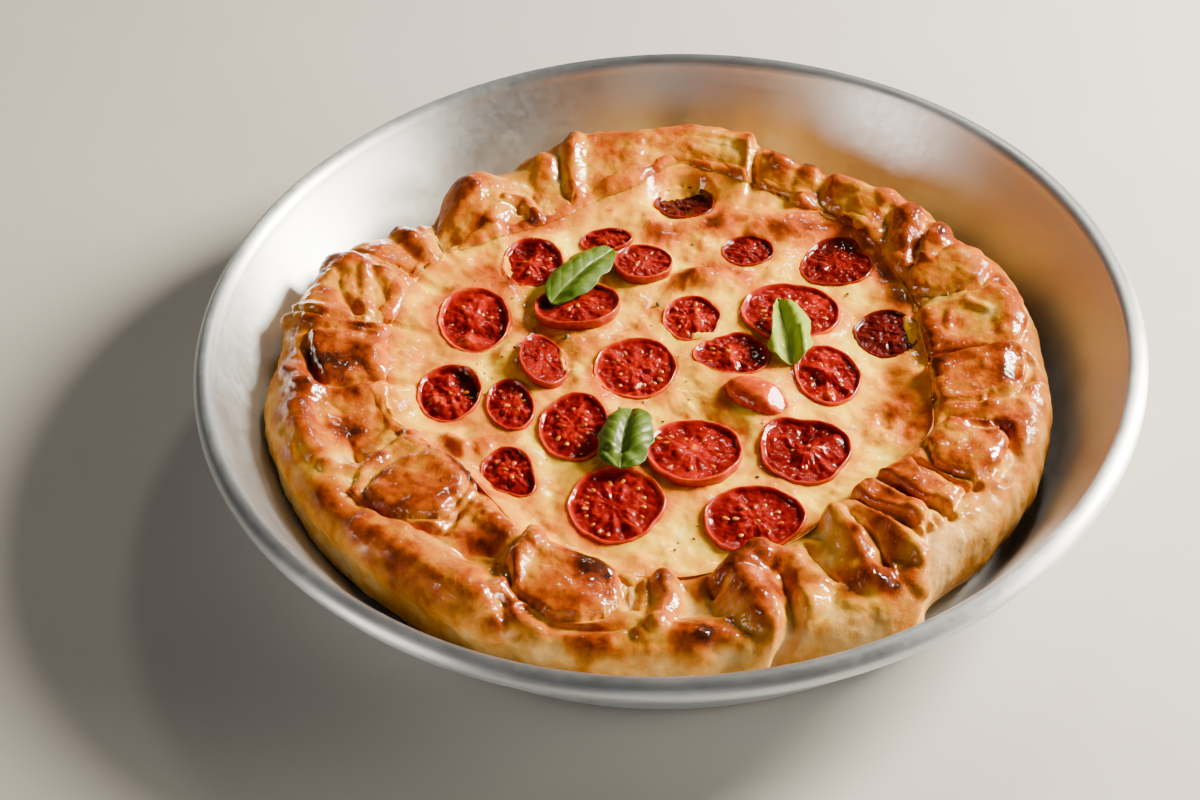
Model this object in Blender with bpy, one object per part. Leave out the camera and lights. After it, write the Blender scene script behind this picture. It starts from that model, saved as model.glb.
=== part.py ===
"""A tomato and cheese pie in the spun aluminium pan that it was baked in.

Metres, +Z up. The origin is the middle of the pan's flat bottom, and -Y is the side that the pie is seen from.
The pan is a turned sheet with a rolled rim. The pastry is one folded round of dough: a thin base, a puffed outer
roll and a border folded inwards in pleats. The cheese filling lies in it, with halved tomatoes sunk into beds in
the filling and three basil leaves on top.

Every length in this file is in millimetres, and MM turns it into metres as a mesh is made.
"""

import math

import bmesh
import bpy
import numpy as np

MM = 0.001

# The pan
PAN_RADIUS = 150.0
PAN_HEIGHT = 43.0
PAN_SHEET = 1.2
PAN_FLOOR_RADIUS = 118.0
PAN_WALL_FOOT = 121.2  # radius of the inner wall, carried down to the table
PAN_WALL_LEAN = 0.558  # outwards for each millimetre of height
PAN_BEAD_RADIUS = 3.4
PAN_SEGMENTS = 60

# The pastry
PIE_CENTRE = (-4.0, -5.0)
PASTRY_BOTTOM = PAN_SHEET + 0.4
PASTRY_BASE_TOP = 7.5
PASTRY_STEPS_ROUND = 150
ROLL_WIDEST_HEIGHT = 17.0
ROLL_INSET = 13.0  # from the outer edge in to the crest of the roll
INNER_LIP_DROP = 3.0
BORDER_SAG = 1.2
CREST_ROW = 7  # of the rows in pastry_sections
GAP = 0.4
WALL_CLEARANCE = 1.0

# Round the pie's centre, as (degrees from +X, millimetres)
OUTER_EDGE = (
    (0, 126), (12, 125.5), (20, 124.5), (31, 122), (42, 122.5), (54, 118), (64, 118.5), (71, 125), (90, 125),
    (98, 127), (103, 124.5), (109, 120.5), (120, 120.5), (126, 118), (130, 112.5), (136, 116), (143, 120.5),
    (152, 127), (158, 124), (164, 127), (170, 125.5), (182, 126.5), (192, 124), (207, 121.5), (215, 119.5),
    (229, 118), (245, 120.5), (262, 123.5), (276, 123), (281, 121), (290, 126), (300, 129.5), (303, 127),
    (306, 122.5), (322, 122.5), (335, 124.5), (350, 125.5),
)  # fmt: skip
INNER_EDGE = (
    (8, 88), (19, 91), (32, 94), (41, 98), (58, 98), (68, 101), (76, 104), (84, 105), (90, 97), (99, 92),
    (106, 88), (115, 86), (128, 90), (145, 95), (162, 91), (180, 87), (187, 86), (195, 82), (204, 77),
    (217, 74), (227, 76), (240, 83), (252, 86), (268, 87.5), (280, 87.5), (287, 86.5), (296, 86), (305, 84),
    (320, 84), (330, 88), (337, 90), (345, 88),
)  # fmt: skip
CREST_HEIGHT = (
    (0, 32), (30, 32), (60, 32.5), (78, 35), (98, 35.5), (112, 31.5), (122, 33), (132, 30), (150, 32.5),
    (170, 31), (200, 30), (235, 30.5), (270, 30), (300, 33), (325, 31.5), (345, 31.5),
)  # fmt: skip
LIP_HEIGHT = (
    (10, 27.8), (40, 27.4), (60, 27.4), (75, 29.5), (86, 29.5), (97, 27.5), (140, 27.6), (180, 27.6),
    (200, 28.2), (215, 28.8), (250, 28.6), (265, 26.6), (300, 29), (325, 29.2), (345, 28.6),
)  # fmt: skip

# Ridges, blisters, valleys and creases in the border: points along it, half its width, and its height.
# A point is (x, y) from the pan's middle, and on the outer side it lies as far out as the dough is long.
PLEATS = (
    # back
    (((2, 100), (15, 104), (30, 98)), 3.5, 1.2),
    (((-1, 93), (10, 97), (22, 93)), 4.0, 1.6),
    (((-14, 90), (-10, 91)), 7.5, 2.4),
    (((-5, 100), (-4, 94)), 6.0, 1.5),
    # back right
    (((45, 90),), 8.5, 2.8),
    (((52, 77), (56, 88)), 5.0, 2.4),
    (((52, 75), (57, 65)), 5.5, 2.4),
    (((49, 68),), 4.5, -1.6),
    (((61, 86), (59, 75), (61, 66)), 3.4, -1.8),
    (((65, 78), (69, 76)), 8.5, 3.0),
    (((80, 71),), 8.0, 2.2),
    (((72, 69), (74, 56)), 5.4, 2.6),
    (((80, 64), (78, 52)), 3.2, -2.2),
    (((87, 60), (81, 40)), 5.8, 3.2),
    (((91, 54), (85, 37)), 3.2, -2.8),
    (((97, 52), (89, 38)), 5.4, 2.8),
    (((65, 68), (70, 61), (73, 50), (72, 43)), 2.6, 1.4),
    # right
    (((84, 17), (98, 17), (111, 21)), 3.0, -2.2),
    (((91, 3), (93, 10), (99, 12), (105, 7)), 2.2, 0.8),
    (((113, 4), (112, 14)), 6.0, 1.5),
    (((108, -25), (110, -16)), 4.0, -2.6),
    (((99, -32), (106, -31), (112, -25), (114, -17)), 2.4, -2.4),
    (((116, -14), (113, -32), (109, -50)), 7.0, 1.2),
    (((88, -33), (97, -34)), 5.5, 1.6),
    (((91, -44), (101, -46)), 2.8, -2.2),
    (((101, -45), (103, -57), (97, -65)), 3.5, -2.6),
    (((72, -58), (81, -68), (88, -69)), 3.2, -3.2),
    (((60, -63), (68, -74), (78, -81)), 3.0, -2.8),
    (((52, -71), (60, -81), (67, -92)), 3.0, -2.6),
    # front right
    (((52, -74), (59, -85), (65, -95), (66, -106)), 5.2, 3.4),
    (((49, -78), (54, -89), (56, -98)), 2.6, -2.0),
    (((44, -75), (49, -89), (52, -105)), 6.5, 5.0),
    (((22, -87), (31, -93), (36, -104), (34, -111)), 6.0, 3.2),
    (((27, -100), (28, -116), (23, -131)), 4.5, -5.0),
    (((19, -87), (14, -96), (19, -109), (22, -120), (14, -135)), 8.0, 5.4),
    (((9, -99),), 4.5, -2.8),
    (((-14, -117), (0, -118), (12, -122)), 4.5, 2.6),
    # near
    (((-95, -71), (-84, -76), (-74, -87), (-59, -99)), 7.5, 3.6),
    (((-97, -60), (-88, -67), (-79, -72), (-71, -74), (-67, -67)), 2.2, -2.2),
    (((-64, -60), (-57, -69), (-50, -78)), 5.0, 1.8),
    (((-84, -28), (-75, -32), (-68, -42), (-61, -52)), 2.6, 1.6),
    (((-7, -93), (-6, -104), (-10, -114)), 4.8, 4.6),
    (((-48, -106), (-40, -112), (-28, -115), (-16, -113)), 3.2, -3.0),
    (((-50, -109), (-38, -118), (-15, -122), (0, -124)), 6.5, 2.0),
    (((-45, -80), (-50, -89), (-53, -98)), 5.2, 3.6),
    (((-122, -20), (-116, -42), (-104, -64), (-90, -82), (-72, -98), (-57, -108)), 10.0, 3.2),
    (((-54, -104), (-51, -113)), 2.8, -2.4),
    # left
    (((-119, -8), (-115, -24), (-108, -40)), 6.0, 2.6),
    (((-106, -45), (-98, -46), (-91, -40)), 3.6, 2.4),
    (((-100, 48), (-99, 38), (-98, 28)), 3.0, 1.4),
    (((-117, 12), (-115, 3), (-111, -5)), 2.8, -4.0),
    (((-99, -12), (-98, -18)), 9.5, 2.0),
    (((-122, 2), (-114, -10)), 4.2, 2.2),
    (((-123, 28), (-112, 24), (-95, 21)), 5.2, 3.2),
    # back left
    (((-65, 88), (-60, 74)), 12.0, 4.0),
    (((-70, 96), (-61, 97), (-55, 89), (-53, 80), (-56, 71)), 4.5, 1.6),
    (((-76, 78), (-70, 64)), 4.0, -2.0),
    (((-27, 88), (-27, 100), (-26, 112)), 4.5, 2.2),
    (((-94, 47), (-88, 37), (-86, 30)), 4.2, 2.0),
    (((-118, 58), (-104, 57), (-94, 50), (-83, 49)), 2.8, -2.6),
    (((-101, 64), (-95, 65)), 7.5, 1.6),
    (((-88, 70), (-79, 60)), 5.2, 3.2),
    (((-78, 78), (-74, 62)), 4.4, -4.0),
    (((-51, 83), (-45, 83), (-41, 76)), 2.8, 2.6),
    (((-47, 78),), 2.6, -1.6),
    (((-43, 104), (-36, 98)), 6.5, 2.0),
)

# Puffed panels of dough, or pockets where the height is negative: outline, height, and how far in the edge is round
PANELS = (
    # near
    (
        ((-100, -56), (-97, -46), (-91, -38), (-84, -29), (-78, -28), (-70, -37), (-62, -50), (-61, -58),
         (-68, -67), (-75, -73), (-86, -69), (-96, -62)),
        1.6,
        3.0,
    ),
    (
        ((-95, -57), (-91, -48), (-84, -42), (-76, -40), (-69, -43), (-64, -50), (-66, -60), (-72, -68),
         (-80, -68), (-90, -63)),
        4.2,
        8.0,
    ),
    (((-71, -79), (-65, -75), (-55, -76), (-50, -82), (-52, -91), (-60, -90), (-68, -86)), -4.6, 5.0),
    (
        ((-52, -86), (-47, -78), (-43, -77), (-34, -83), (-24, -87), (-21, -92), (-21, -103), (-25, -108),
         (-32, -110), (-40, -108), (-46, -102), (-51, -99)),
        4.4,
        8.0,
    ),
    (((-21, -92), (-12, -92), (-12, -100), (-14, -109), (-21, -108), (-22, -100)), -3.4, 3.5),
    (((-4, -96), (6, -93), (13, -97), (13, -108), (14, -117), (3, -115), (-6, -112)), -4.6, 7.0),
    # front right
    (((33, -83), (42, -87), (46, -98), (46, -106), (41, -107), (36, -103), (31, -93)), -4.6, 5.0),
    (((51, -98), (56, -94), (65, -95), (67, -101), (61, -109), (52, -107)), -3.2, 4.0),
    (((49, -66), (57, -61), (63, -66), (70, -76), (73, -86), (66, -86), (59, -77), (53, -71)), 3.4, 4.0),
    (((59, -61), (70, -55), (77, -61), (84, -70), (79, -79), (71, -74), (64, -67)), 3.6, 4.5),
    # right
    (((84, -38), (97, -42), (102, -48), (97, -60), (88, -66), (78, -58), (76, -48)), 3.4, 7.0),
    (((84, -11), (100, -10), (111, -9), (113, -20), (108, -29), (96, -32), (83, -30)), 1.6, 4.0),
    (((81, 16), (91, 20), (104, 19), (115, 16), (117, 4), (112, -7), (98, -8), (84, -8), (80, 3)), 3.0, 8.0),
    (((83, 24), (92, 20), (104, 21), (109, 28), (107, 37), (98, 40), (88, 38), (83, 32)), 4.2, 7.0),
    # left
    (((-116, 18), (-102, 20), (-93, 18), (-90, 8), (-90, -2), (-100, -3), (-110, -4), (-114, 6)), 3.4, 7.0),
    (((-112, -12), (-102, -10), (-89, -6), (-87, -22), (-92, -36), (-98, -46), (-104, -36), (-108, -25)), -2.6, 7.0),
    (((-104, -24), (-99, -30), (-94, -40), (-98, -45), (-103, -38)), -2.4, 4.0),
    # back left
    (
        ((-122, 30), (-118, 44), (-113, 57), (-103, 58), (-95, 53), (-85, 50), (-82, 42), (-86, 28), (-98, 24),
         (-112, 24)),
        3.0,
        6.0,
    ),
    (((-109, 48), (-103, 46), (-102, 36), (-95, 25), (-103, 22), (-110, 30), (-112, 40)), -3.2, 5.0),
    (((-53, 95), (-41, 96), (-36, 88), (-40, 80), (-50, 84)), -2.2, 5.0),
)  # fmt: skip

# Edges of dough that lap over the next pleat: points along the edge with the upper layer on the left hand,
# the step, and how far back the upper layer slopes down.
LAPS = (
    (((-29, 86), (-31, 96), (-32, 105)), -1.6, 12.0),
    (((35, 82), (36, 94), (39, 108)), 3.4, 12.0),
    (((84, -11), (100, -10), (111, -9)), -2.6, 16.0),
    (((-113, -6), (-103, -7), (-91, -4)), -2.2, 16.0),
    (((70, -84), (69, -98), (66, -118), (62, -138)), -3.0, 14.0),
)
LAP_ROUNDING = 2.2
LAP_CREASE = 2.4
PANEL_CREASE = 1.8
PANEL_CREASE_DEPTH = 0.3
LUMPS = ((17.0, 1.1), (8.0, 0.55))  # size and height of the unevenness all over the dough
LUMP_SEED = 7

# The filling
FILLING_LEVEL = 24.0
FILLING_STEPS_ROUND = 75
FILLING_UNEVENNESS = 0.7
FILLING_EDGE_RISE = 1.4
FILLING_SWELLS = (
    (((6, 39), (21, 37)), 8.0, 1.6),
    (((33, 33), (38, 30)), 7.0, 1.2),
    (((-52, 44), (-46, 37)), 8.0, 1.2),
    (((-70, -31), (-58, -36)), 7.0, 1.8),
    (((20, -8),), 8.0, 1.0),
    (((-30, 10), (-26, 18)), 8.0, 1.0),
    (((60, -30), (66, -12)), 10.0, -1.2),
    (((-45, -72), (-30, -84)), 10.0, -1.0),
    (((30, 74), (45, 66)), 12.0, 1.4),
    (((-20, 78), (-5, 72)), 12.0, 1.0),
)

# The halved tomatoes: middle x, y, width along X, width along Y, turn in degrees, height of the cut face,
# and how far the face leans towards +X and +Y in degrees.
TOMATOES = (
    (-42.5, 54.5, 21, 24, 0, 25.4, 0, -4),
    (-17, 64.5, 18, 13, 0, 25.2, -4, 4),
    (-5, 50, 20, 21, 0, 26.6, 4, 8),
    (-28, 29.5, 29, 24, 0, 27.2, -2, 8),
    (-62.5, 26.5, 24, 31, 0, 25.4, 3, -4),
    (-70.5, -8, 21, 25, 0, 25.2, -4, -4),
    (-40, 3, 15, 26, 8, 27.0, 16, 6),
    (-51, -15.5, 15, 24, 12, 25.6, -4, 0),
    (-10.5, -2, 27, 28, 0, 25.6, 0, -2),
    (9, 20.5, 19, 22, 0, 25.4, 0, 0),
    (42, 21, 33, 28, -10, 25.6, 2, 0),
    (21, 1.5, 25, 21, 0, 25.6, 3, 3),
    (60, 45.5, 23, 26, 20, 24.8, -3, 5),
    (31, 54.5, 18, 17, 0, 24.6, 0, 4),
    (11.5, 83, 21, 20, 0, 24.6, 0, 6),
    (72, 8, 21, 24, 0, 24.8, -4, 2),
    (50.5, -10.5, 21, 26, 10, 25.6, 3, -4),
    (27, -19.5, 22, 13, -38, 26.4, 0, 0),
    (-31, -27.5, 22.5, 29, 0, 25.8, -4, -3),
    (5.5, -42.5, 30, 30, 0, 27.2, 2, 6),
    (40, -45, 27, 27, 0, 25.8, 3, -2),
    (-20.5, -62.5, 29, 30, 0, 25.8, -3, -4),
    (21.5, -71.5, 29, 26, 0, 25.6, 0, -3),
    (-52, -44.5, 16, 21, 25, 25.0, -4, -4),
)
SKIN_UP = (18,)  # lies with its cut face down
TOMATO_DEPTH = 9.0
FACE_HOLLOW = -2.0  # the middle of a cut face below its edge
TOMATO_SIDES = 14
BED_HEIGHT = 9.0  # of a cutter above the cut face

# The basil leaves: base and tip as (x, y, height), width, how far the sides droop, and how far it arches
LEAVES = (
    ((-36.8, 30.5, 28.2), (-15.0, 56.0, 28.4), 16.0, 1.6, 1.4),
    ((40.5, -6.0, 27.8), (38.0, 23.5, 29.8), 14.5, 2.4, 1.2),
    ((-17.5, -50.5, 28.8), (-12.5, -24.0, 29.2), 16.5, 1.2, 1.6),
)
LEAF_THICKNESS = 0.7
LEAF_ROWS = 9
LEAF_COLUMNS = 4


def clear_scene():
    for found in list(bpy.data.objects):
        bpy.data.objects.remove(found, do_unlink=True)


def material(name, colour, roughness, metallic=0.0):
    made = bpy.data.materials.new(name)
    made.use_nodes = True
    shader = made.node_tree.nodes["Principled BSDF"]
    shader.inputs["Base Color"].default_value = (*colour, 1.0)
    shader.inputs["Roughness"].default_value = roughness
    shader.inputs["Metallic"].default_value = metallic
    return made


def add_object(name, mesh, finish):
    made = bpy.data.objects.new(name, mesh)
    bpy.context.collection.objects.link(made)
    if finish:
        mesh.materials.append(finish)
    return made


def solid_of_rings(name, rings, first_middle, last_middle, finish=None):
    """A closed body through rings of points, from its underside to its top, each end filled from a middle point."""
    build = bmesh.new()
    loops = [[build.verts.new(point * MM) for point in ring] for ring in rings]
    count = len(loops[0])
    for lower, upper in zip(loops, loops[1:]):
        for i in range(count):
            j = (i + 1) % count
            build.faces.new((lower[i], lower[j], upper[j], upper[i]))
    for loop, middle, turn in ((loops[0], first_middle, -1), (loops[-1], last_middle, 1)):
        hub = build.verts.new(np.asarray(middle) * MM)
        for i in range(count):
            build.faces.new((loop[i], loop[(i + 1) % count], hub)[::turn])
    mesh = bpy.data.meshes.new(name)
    build.to_mesh(mesh)
    build.free()
    mesh.shade_smooth()
    mesh.set_sharp_from_angle(angle=math.radians(50))
    return add_object(name, mesh, finish)


def around(table, degrees):
    """A smooth closed curve through (degrees, value) pairs, read at an array of angles."""
    at = np.array([row[0] for row in table], float)
    value = np.array([row[1] for row in table], float)
    at = np.concatenate((at[-2:] - 360, at, at[:2] + 360))
    value = np.concatenate((value[-2:], value, value[:2]))
    slope = np.gradient(value, at)
    degrees = np.mod(degrees - at[1], 360) + at[1]
    k = np.clip(np.searchsorted(at, degrees, side="right") - 1, 0, len(at) - 2)
    span = at[k + 1] - at[k]
    u = (degrees - at[k]) / span
    return (
        value[k] * (1 + 2 * u) * (1 - u) ** 2
        + slope[k] * span * u * (1 - u) ** 2
        + value[k + 1] * u**2 * (3 - 2 * u)
        + slope[k + 1] * span * u**2 * (u - 1)
    )


def near_line(x, y, points):
    """Distance to a line through points, the side it is on (+1 left), and how far past its ends."""
    points = np.array(points, float)
    if len(points) == 1:
        return np.hypot(x - points[0, 0], y - points[0, 1]), np.ones_like(x), np.zeros_like(x)
    nearest = np.full(np.shape(x), np.inf)
    side = np.ones_like(nearest)
    beyond = np.zeros_like(nearest)
    last = len(points) - 2
    for k, (start, end) in enumerate(zip(points, points[1:])):
        run = end - start
        length = np.hypot(*run)
        ahead = ((x - start[0]) * run[0] + (y - start[1]) * run[1]) / length
        across = ((y - start[1]) * run[0] - (x - start[0]) * run[1]) / length
        past = np.maximum(ahead - length, 0) + np.maximum(-ahead, 0)
        away = np.hypot(across, past)
        closer = away < nearest
        nearest = np.where(closer, away, nearest)
        side = np.where(closer, np.sign(across), side)
        at_end = (ahead > length) if k == last else np.zeros_like(closer)
        at_start = (ahead < 0) if k == 0 else np.zeros_like(closer)
        beyond = np.where(closer, np.where(at_end | at_start, past, 0.0), beyond)
    return nearest, side, beyond


def stroke(x, y, points, half_width, height):
    """A rounded ridge along a line of points, or a valley where the height is negative."""
    nearest = near_line(x, y, points)[0]
    return height * np.clip(1 - (nearest / half_width) ** 2, 0, 1) ** 1.5


def panel(x, y, outline, height, edge):
    """A pillow with a round edge inside an outline and a narrow crease outside it, or a soft pocket."""
    inside = np.zeros(np.shape(x), bool)
    for (ax, ay), (bx, by) in zip(outline, outline[1:] + outline[:1]):
        if ay != by:
            inside ^= ((ay > y) != (by > y)) & (x < (bx - ax) * (y - ay) / (by - ay) + ax)
    away = near_line(x, y, outline + outline[:1])[0]
    part_in = np.clip(away / edge, 0, 1) * inside
    if height < 0:
        return height * part_in**2 * (3 - 2 * part_in)
    crease = PANEL_CREASE_DEPTH * np.exp(-((away / PANEL_CREASE) ** 2)) * ~inside
    return height * (np.sqrt(1 - (1 - part_in) ** 2) - crease)


def lap(x, y, points, step, run):
    """A layer of dough that ends on a line: a rounded edge, a slope back behind it and a crease before it."""
    nearest, side, beyond = near_line(x, y, points)
    ahead = nearest * side * np.sign(step)
    rise = np.sqrt(np.clip(ahead / LAP_ROUNDING, 0, 1))
    fall = np.clip(1 - ahead / run, 0, 1)
    crease = 0.6 * np.exp(-(((ahead + 0.6) / LAP_CREASE) ** 2)) * (ahead < 0.6)
    fade = np.clip(1 - beyond / 6, 0, 1)
    return abs(step) * fade * (rise * fall - crease)


def lumps(x, y, size, seed):
    """Smooth random bumps of about unit height, their middles a given size apart."""
    lattice = np.random.default_rng(seed).uniform(-1, 1, (64, 64))
    u, v = x / size + 32, y / size + 32
    i, j = np.floor(u).astype(int), np.floor(v).astype(int)
    u, v = u - i, v - j
    u, v = u * u * (3 - 2 * u), v * v * (3 - 2 * v)
    near = lattice[i, j] * (1 - u) + lattice[i + 1, j] * u
    far = lattice[i, j + 1] * (1 - u) + lattice[i + 1, j + 1] * u
    return near * (1 - v) + far * v


def relief(x, y):
    total = np.zeros_like(x)
    for k, (size, height) in enumerate(LUMPS):
        total += height * lumps(x, y, size, LUMP_SEED + k)
    for points, half_width, height in PLEATS:
        total += stroke(x, y, points, half_width, height)
    for outline, height, edge in PANELS:
        total += panel(x, y, outline, height, edge)
    for points, step, run in LAPS:
        total += lap(x, y, points, step, run)
    return total


def pan_inner_radius(z):
    return PAN_WALL_FOOT + PAN_WALL_LEAN * z


def pan_profile():
    """Half the pan's section as (radius, height): up the inner face, over the rolled rim, down the outer face."""
    lean = math.atan(PAN_WALL_LEAN)  # from the vertical
    turn = math.pi / 2 - lean
    inner_corner = PAN_WALL_FOOT + PAN_WALL_LEAN * PAN_SHEET
    tangent = inner_corner - PAN_FLOOR_RADIUS
    fillet = tangent / math.tan(turn / 2)
    bead_r = PAN_RADIUS - PAN_BEAD_RADIUS
    bead_z = PAN_HEIGHT - PAN_BEAD_RADIUS
    points = [(PAN_FLOOR_RADIUS, PAN_SHEET)]
    for k in (1, 2):
        angle = turn * k / 2
        points.append((PAN_FLOOR_RADIUS + fillet * math.sin(angle), PAN_SHEET + fillet * (1 - math.cos(angle))))
    points.append((pan_inner_radius(38.0), 38.0))
    for degrees in (172, 140, 105, 70, 30, -10, -55, -100):
        angle = math.radians(degrees)
        flat = (abs(math.cos(angle)) ** 2.6 + abs(math.sin(angle)) ** 2.6) ** (-1 / 2.6)
        reach = PAN_BEAD_RADIUS * flat
        points.append((min(bead_r + reach * math.cos(angle), PAN_RADIUS), bead_z + reach * math.sin(angle)))
    sheet_across = PAN_SHEET / math.cos(lean)
    points.append((pan_inner_radius(35.2) + sheet_across, 35.2))
    outer = fillet + PAN_SHEET
    for k in (2, 1):
        angle = turn * k / 2
        points.append((PAN_FLOOR_RADIUS + outer * math.sin(angle), outer * (1 - math.cos(angle))))
    points.append((PAN_FLOOR_RADIUS, 0.0))
    return points


def make_pan(finish):
    turns = np.arange(PAN_SEGMENTS) * 2 * math.pi / PAN_SEGMENTS
    rings = [
        np.stack((r * np.cos(turns), r * np.sin(turns), np.full_like(turns, z)), axis=1)
        for r, z in reversed(pan_profile())
    ]
    return solid_of_rings("pan", rings, (0, 0, 0), (0, 0, PAN_SHEET), finish)


def pastry_sections(degrees):
    """The dough's section at each angle, from its underside over the roll and down into the middle.

    Each row is a ring of (radius, height, share of the relief that it takes).
    """
    outer = around(OUTER_EDGE, degrees)
    inner = around(INNER_EDGE, degrees)
    crest = around(CREST_HEIGHT, degrees)
    lip = around(LIP_HEIGHT, degrees)
    crest_r = outer - np.minimum(ROLL_INSET, 0.45 * (outer - inner))
    shoulder = outer - 0.37 * (outer - crest_r)
    flat = np.zeros_like(outer)
    rows = [
        (outer - 14, PASTRY_BOTTOM + flat, 0.0),
        (outer - 6, PASTRY_BOTTOM + 1.5 + flat, 0.0),
        (outer - 1.6, PASTRY_BOTTOM + 7 + flat, 0.3),
        (outer, ROLL_WIDEST_HEIGHT + flat, 0.7),
        (outer - 1.4, 0.42 * ROLL_WIDEST_HEIGHT + 0.58 * crest, 1.0),
        (shoulder, 0.16 * ROLL_WIDEST_HEIGHT + 0.84 * crest, 1.0),
        (0.5 * (shoulder + crest_r), crest - 0.6, 1.0),
        (crest_r, crest, 1.0),
    ]
    for share in (0.18, 0.36, 0.54, 0.72, 0.88):
        sag = BORDER_SAG * math.sin(math.pi * share)
        rows.append((crest_r - (crest_r - inner) * share, crest + (lip - crest) * share - sag, 1.0))
    rows.append((inner + 0.6, lip - 1.4, 0.7))
    rows.append((inner, lip - INNER_LIP_DROP, 0.0))
    rows.append((inner - 0.3, PASTRY_BASE_TOP + flat, 0.0))
    return np.array([np.stack((r, z, share + flat)) for r, z, share in rows])


def pastry_rings(degrees, rows, crest_row):
    """Rings of points with the pleats raised along the section's outward direction."""
    turn = np.radians(degrees)
    radius, height, share = rows[:, 0], rows[:, 1], rows[:, 2]
    step = np.hypot(np.diff(radius, axis=0), np.diff(height, axis=0))
    along = np.concatenate((np.zeros((1, len(degrees))), np.cumsum(step, axis=0)))
    reach = np.where(
        np.arange(len(rows))[:, None] < crest_row, radius[crest_row] + along[crest_row] - along, radius
    )
    tangent_r = np.gradient(radius, axis=0)
    tangent_z = np.gradient(height, axis=0)
    size = np.hypot(tangent_r, tangent_z)
    bump = share * relief(PIE_CENTRE[0] + reach * np.cos(turn), PIE_CENTRE[1] + reach * np.sin(turn))
    radius = radius + bump * tangent_z / size
    height = height - bump * tangent_r / size
    return within_pan(
        PIE_CENTRE[0] + radius * np.cos(turn), PIE_CENTRE[1] + radius * np.sin(turn), height
    )


def within_pan(x, y, z):
    """Draws points in so that they stay clear of the pan's inner wall."""
    away = np.hypot(x, y)
    limit = pan_inner_radius(z) - WALL_CLEARANCE
    low = np.minimum(PAN_FLOOR_RADIUS + 1.1 * z, limit)
    draw = np.minimum(1, np.minimum(limit, low) / away)
    return np.stack((x * draw, y * draw, z), axis=-1)


def make_pastry(finish):
    degrees = np.arange(PASTRY_STEPS_ROUND) * 360 / PASTRY_STEPS_ROUND
    rings = pastry_rings(degrees, pastry_sections(degrees), CREST_ROW)
    middle = (*PIE_CENTRE, PASTRY_BOTTOM)
    floor = (*PIE_CENTRE, PASTRY_BASE_TOP)
    return solid_of_rings("pastry", list(rings), middle, floor, finish)


def filling_height(x, y):
    total = FILLING_LEVEL + FILLING_UNEVENNESS * lumps(x, y, 22.0, LUMP_SEED + 5)
    for points, half_width, height in FILLING_SWELLS:
        total = total + stroke(x, y, points, half_width, height)
    return total


def make_filling(finish):
    degrees = np.arange(FILLING_STEPS_ROUND) * 360 / FILLING_STEPS_ROUND
    turn = np.radians(degrees)
    edge = around(INNER_EDGE, degrees) - 1.1
    foot = PASTRY_BASE_TOP + GAP
    rings = []
    for share in (1.0, 0.86, 0.7, 0.54, 0.38, 0.2):
        x = PIE_CENTRE[0] + share * edge * np.cos(turn)
        y = PIE_CENTRE[1] + share * edge * np.sin(turn)
        if share == 1.0:
            rings.append(np.stack((x, y, np.full_like(x, foot)), axis=1))
        rise = FILLING_EDGE_RISE if share == 1.0 else 0.0
        rings.append(np.stack((x, y, filling_height(x, y) + rise), axis=1))
    top = filling_height(np.array(PIE_CENTRE[0]), np.array(PIE_CENTRE[1]))
    filling = solid_of_rings(
        "filling", rings, (*PIE_CENTRE, foot), (*PIE_CENTRE, float(top)), finish
    )
    cut = filling.modifiers.new("tomato beds", "BOOLEAN")
    cut.operation = "DIFFERENCE"
    cut.operand_type = "COLLECTION"
    cut.collection = bed_cutters()
    cut.solver = "EXACT"
    return filling


def leaning(rings, spec):
    """Rings about the origin turned, leaned and moved to where a tomato lies."""
    x, y, _, _, turn, height, lean_x, lean_y = spec
    turned_by = math.radians(turn)
    sx, sy = math.tan(math.radians(lean_x)), math.tan(math.radians(lean_y))
    placed = []
    for ring in rings:
        px = ring[:, 0] * math.cos(turned_by) - ring[:, 1] * math.sin(turned_by)
        py = ring[:, 0] * math.sin(turned_by) + ring[:, 1] * math.cos(turned_by)
        placed.append(np.stack((x + px, y + py, height + ring[:, 2] - sx * px - sy * py), axis=1))
    return placed


def tomato_section(number):
    """(share of the radius, height above the cut face), from below to the top."""
    if number in SKIN_UP:
        return ((0.9, -TOMATO_DEPTH * 0.45), (1.0, -2.0), (0.93, 1.0), (0.62, 3.4)), 4.4
    return ((0.62, -TOMATO_DEPTH * 0.86), (0.95, -TOMATO_DEPTH * 0.42), (1.0, -0.8), (0.92, 0.2)), FACE_HOLLOW


def tomato_rings(number, spec, grow=0.0):
    section, middle = tomato_section(number)
    steps = np.arange(TOMATO_SIDES) * 2 * math.pi / TOMATO_SIDES
    half_x, half_y = spec[2] / 2 + grow, spec[3] / 2 + grow
    rings = [
        np.stack((s * half_x * np.cos(steps), s * half_y * np.sin(steps), np.full_like(steps, z - grow)), axis=1)
        for s, z in section
    ]
    lowest = -TOMATO_DEPTH * (0.6 if number in SKIN_UP else 1.0) - grow
    ends = [np.array([[0.0, 0.0, lowest]]), np.array([[0.0, 0.0, middle]])]
    return rings, ends


def make_tomatoes(finish):
    for number, spec in enumerate(TOMATOES, start=1):
        rings, ends = tomato_rings(number, spec)
        ends = [tuple(end[0]) for end in leaning(ends, spec)]
        solid_of_rings(f"tomato_{number:02d}", leaning(rings, spec), ends[0], ends[1], finish)


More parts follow.
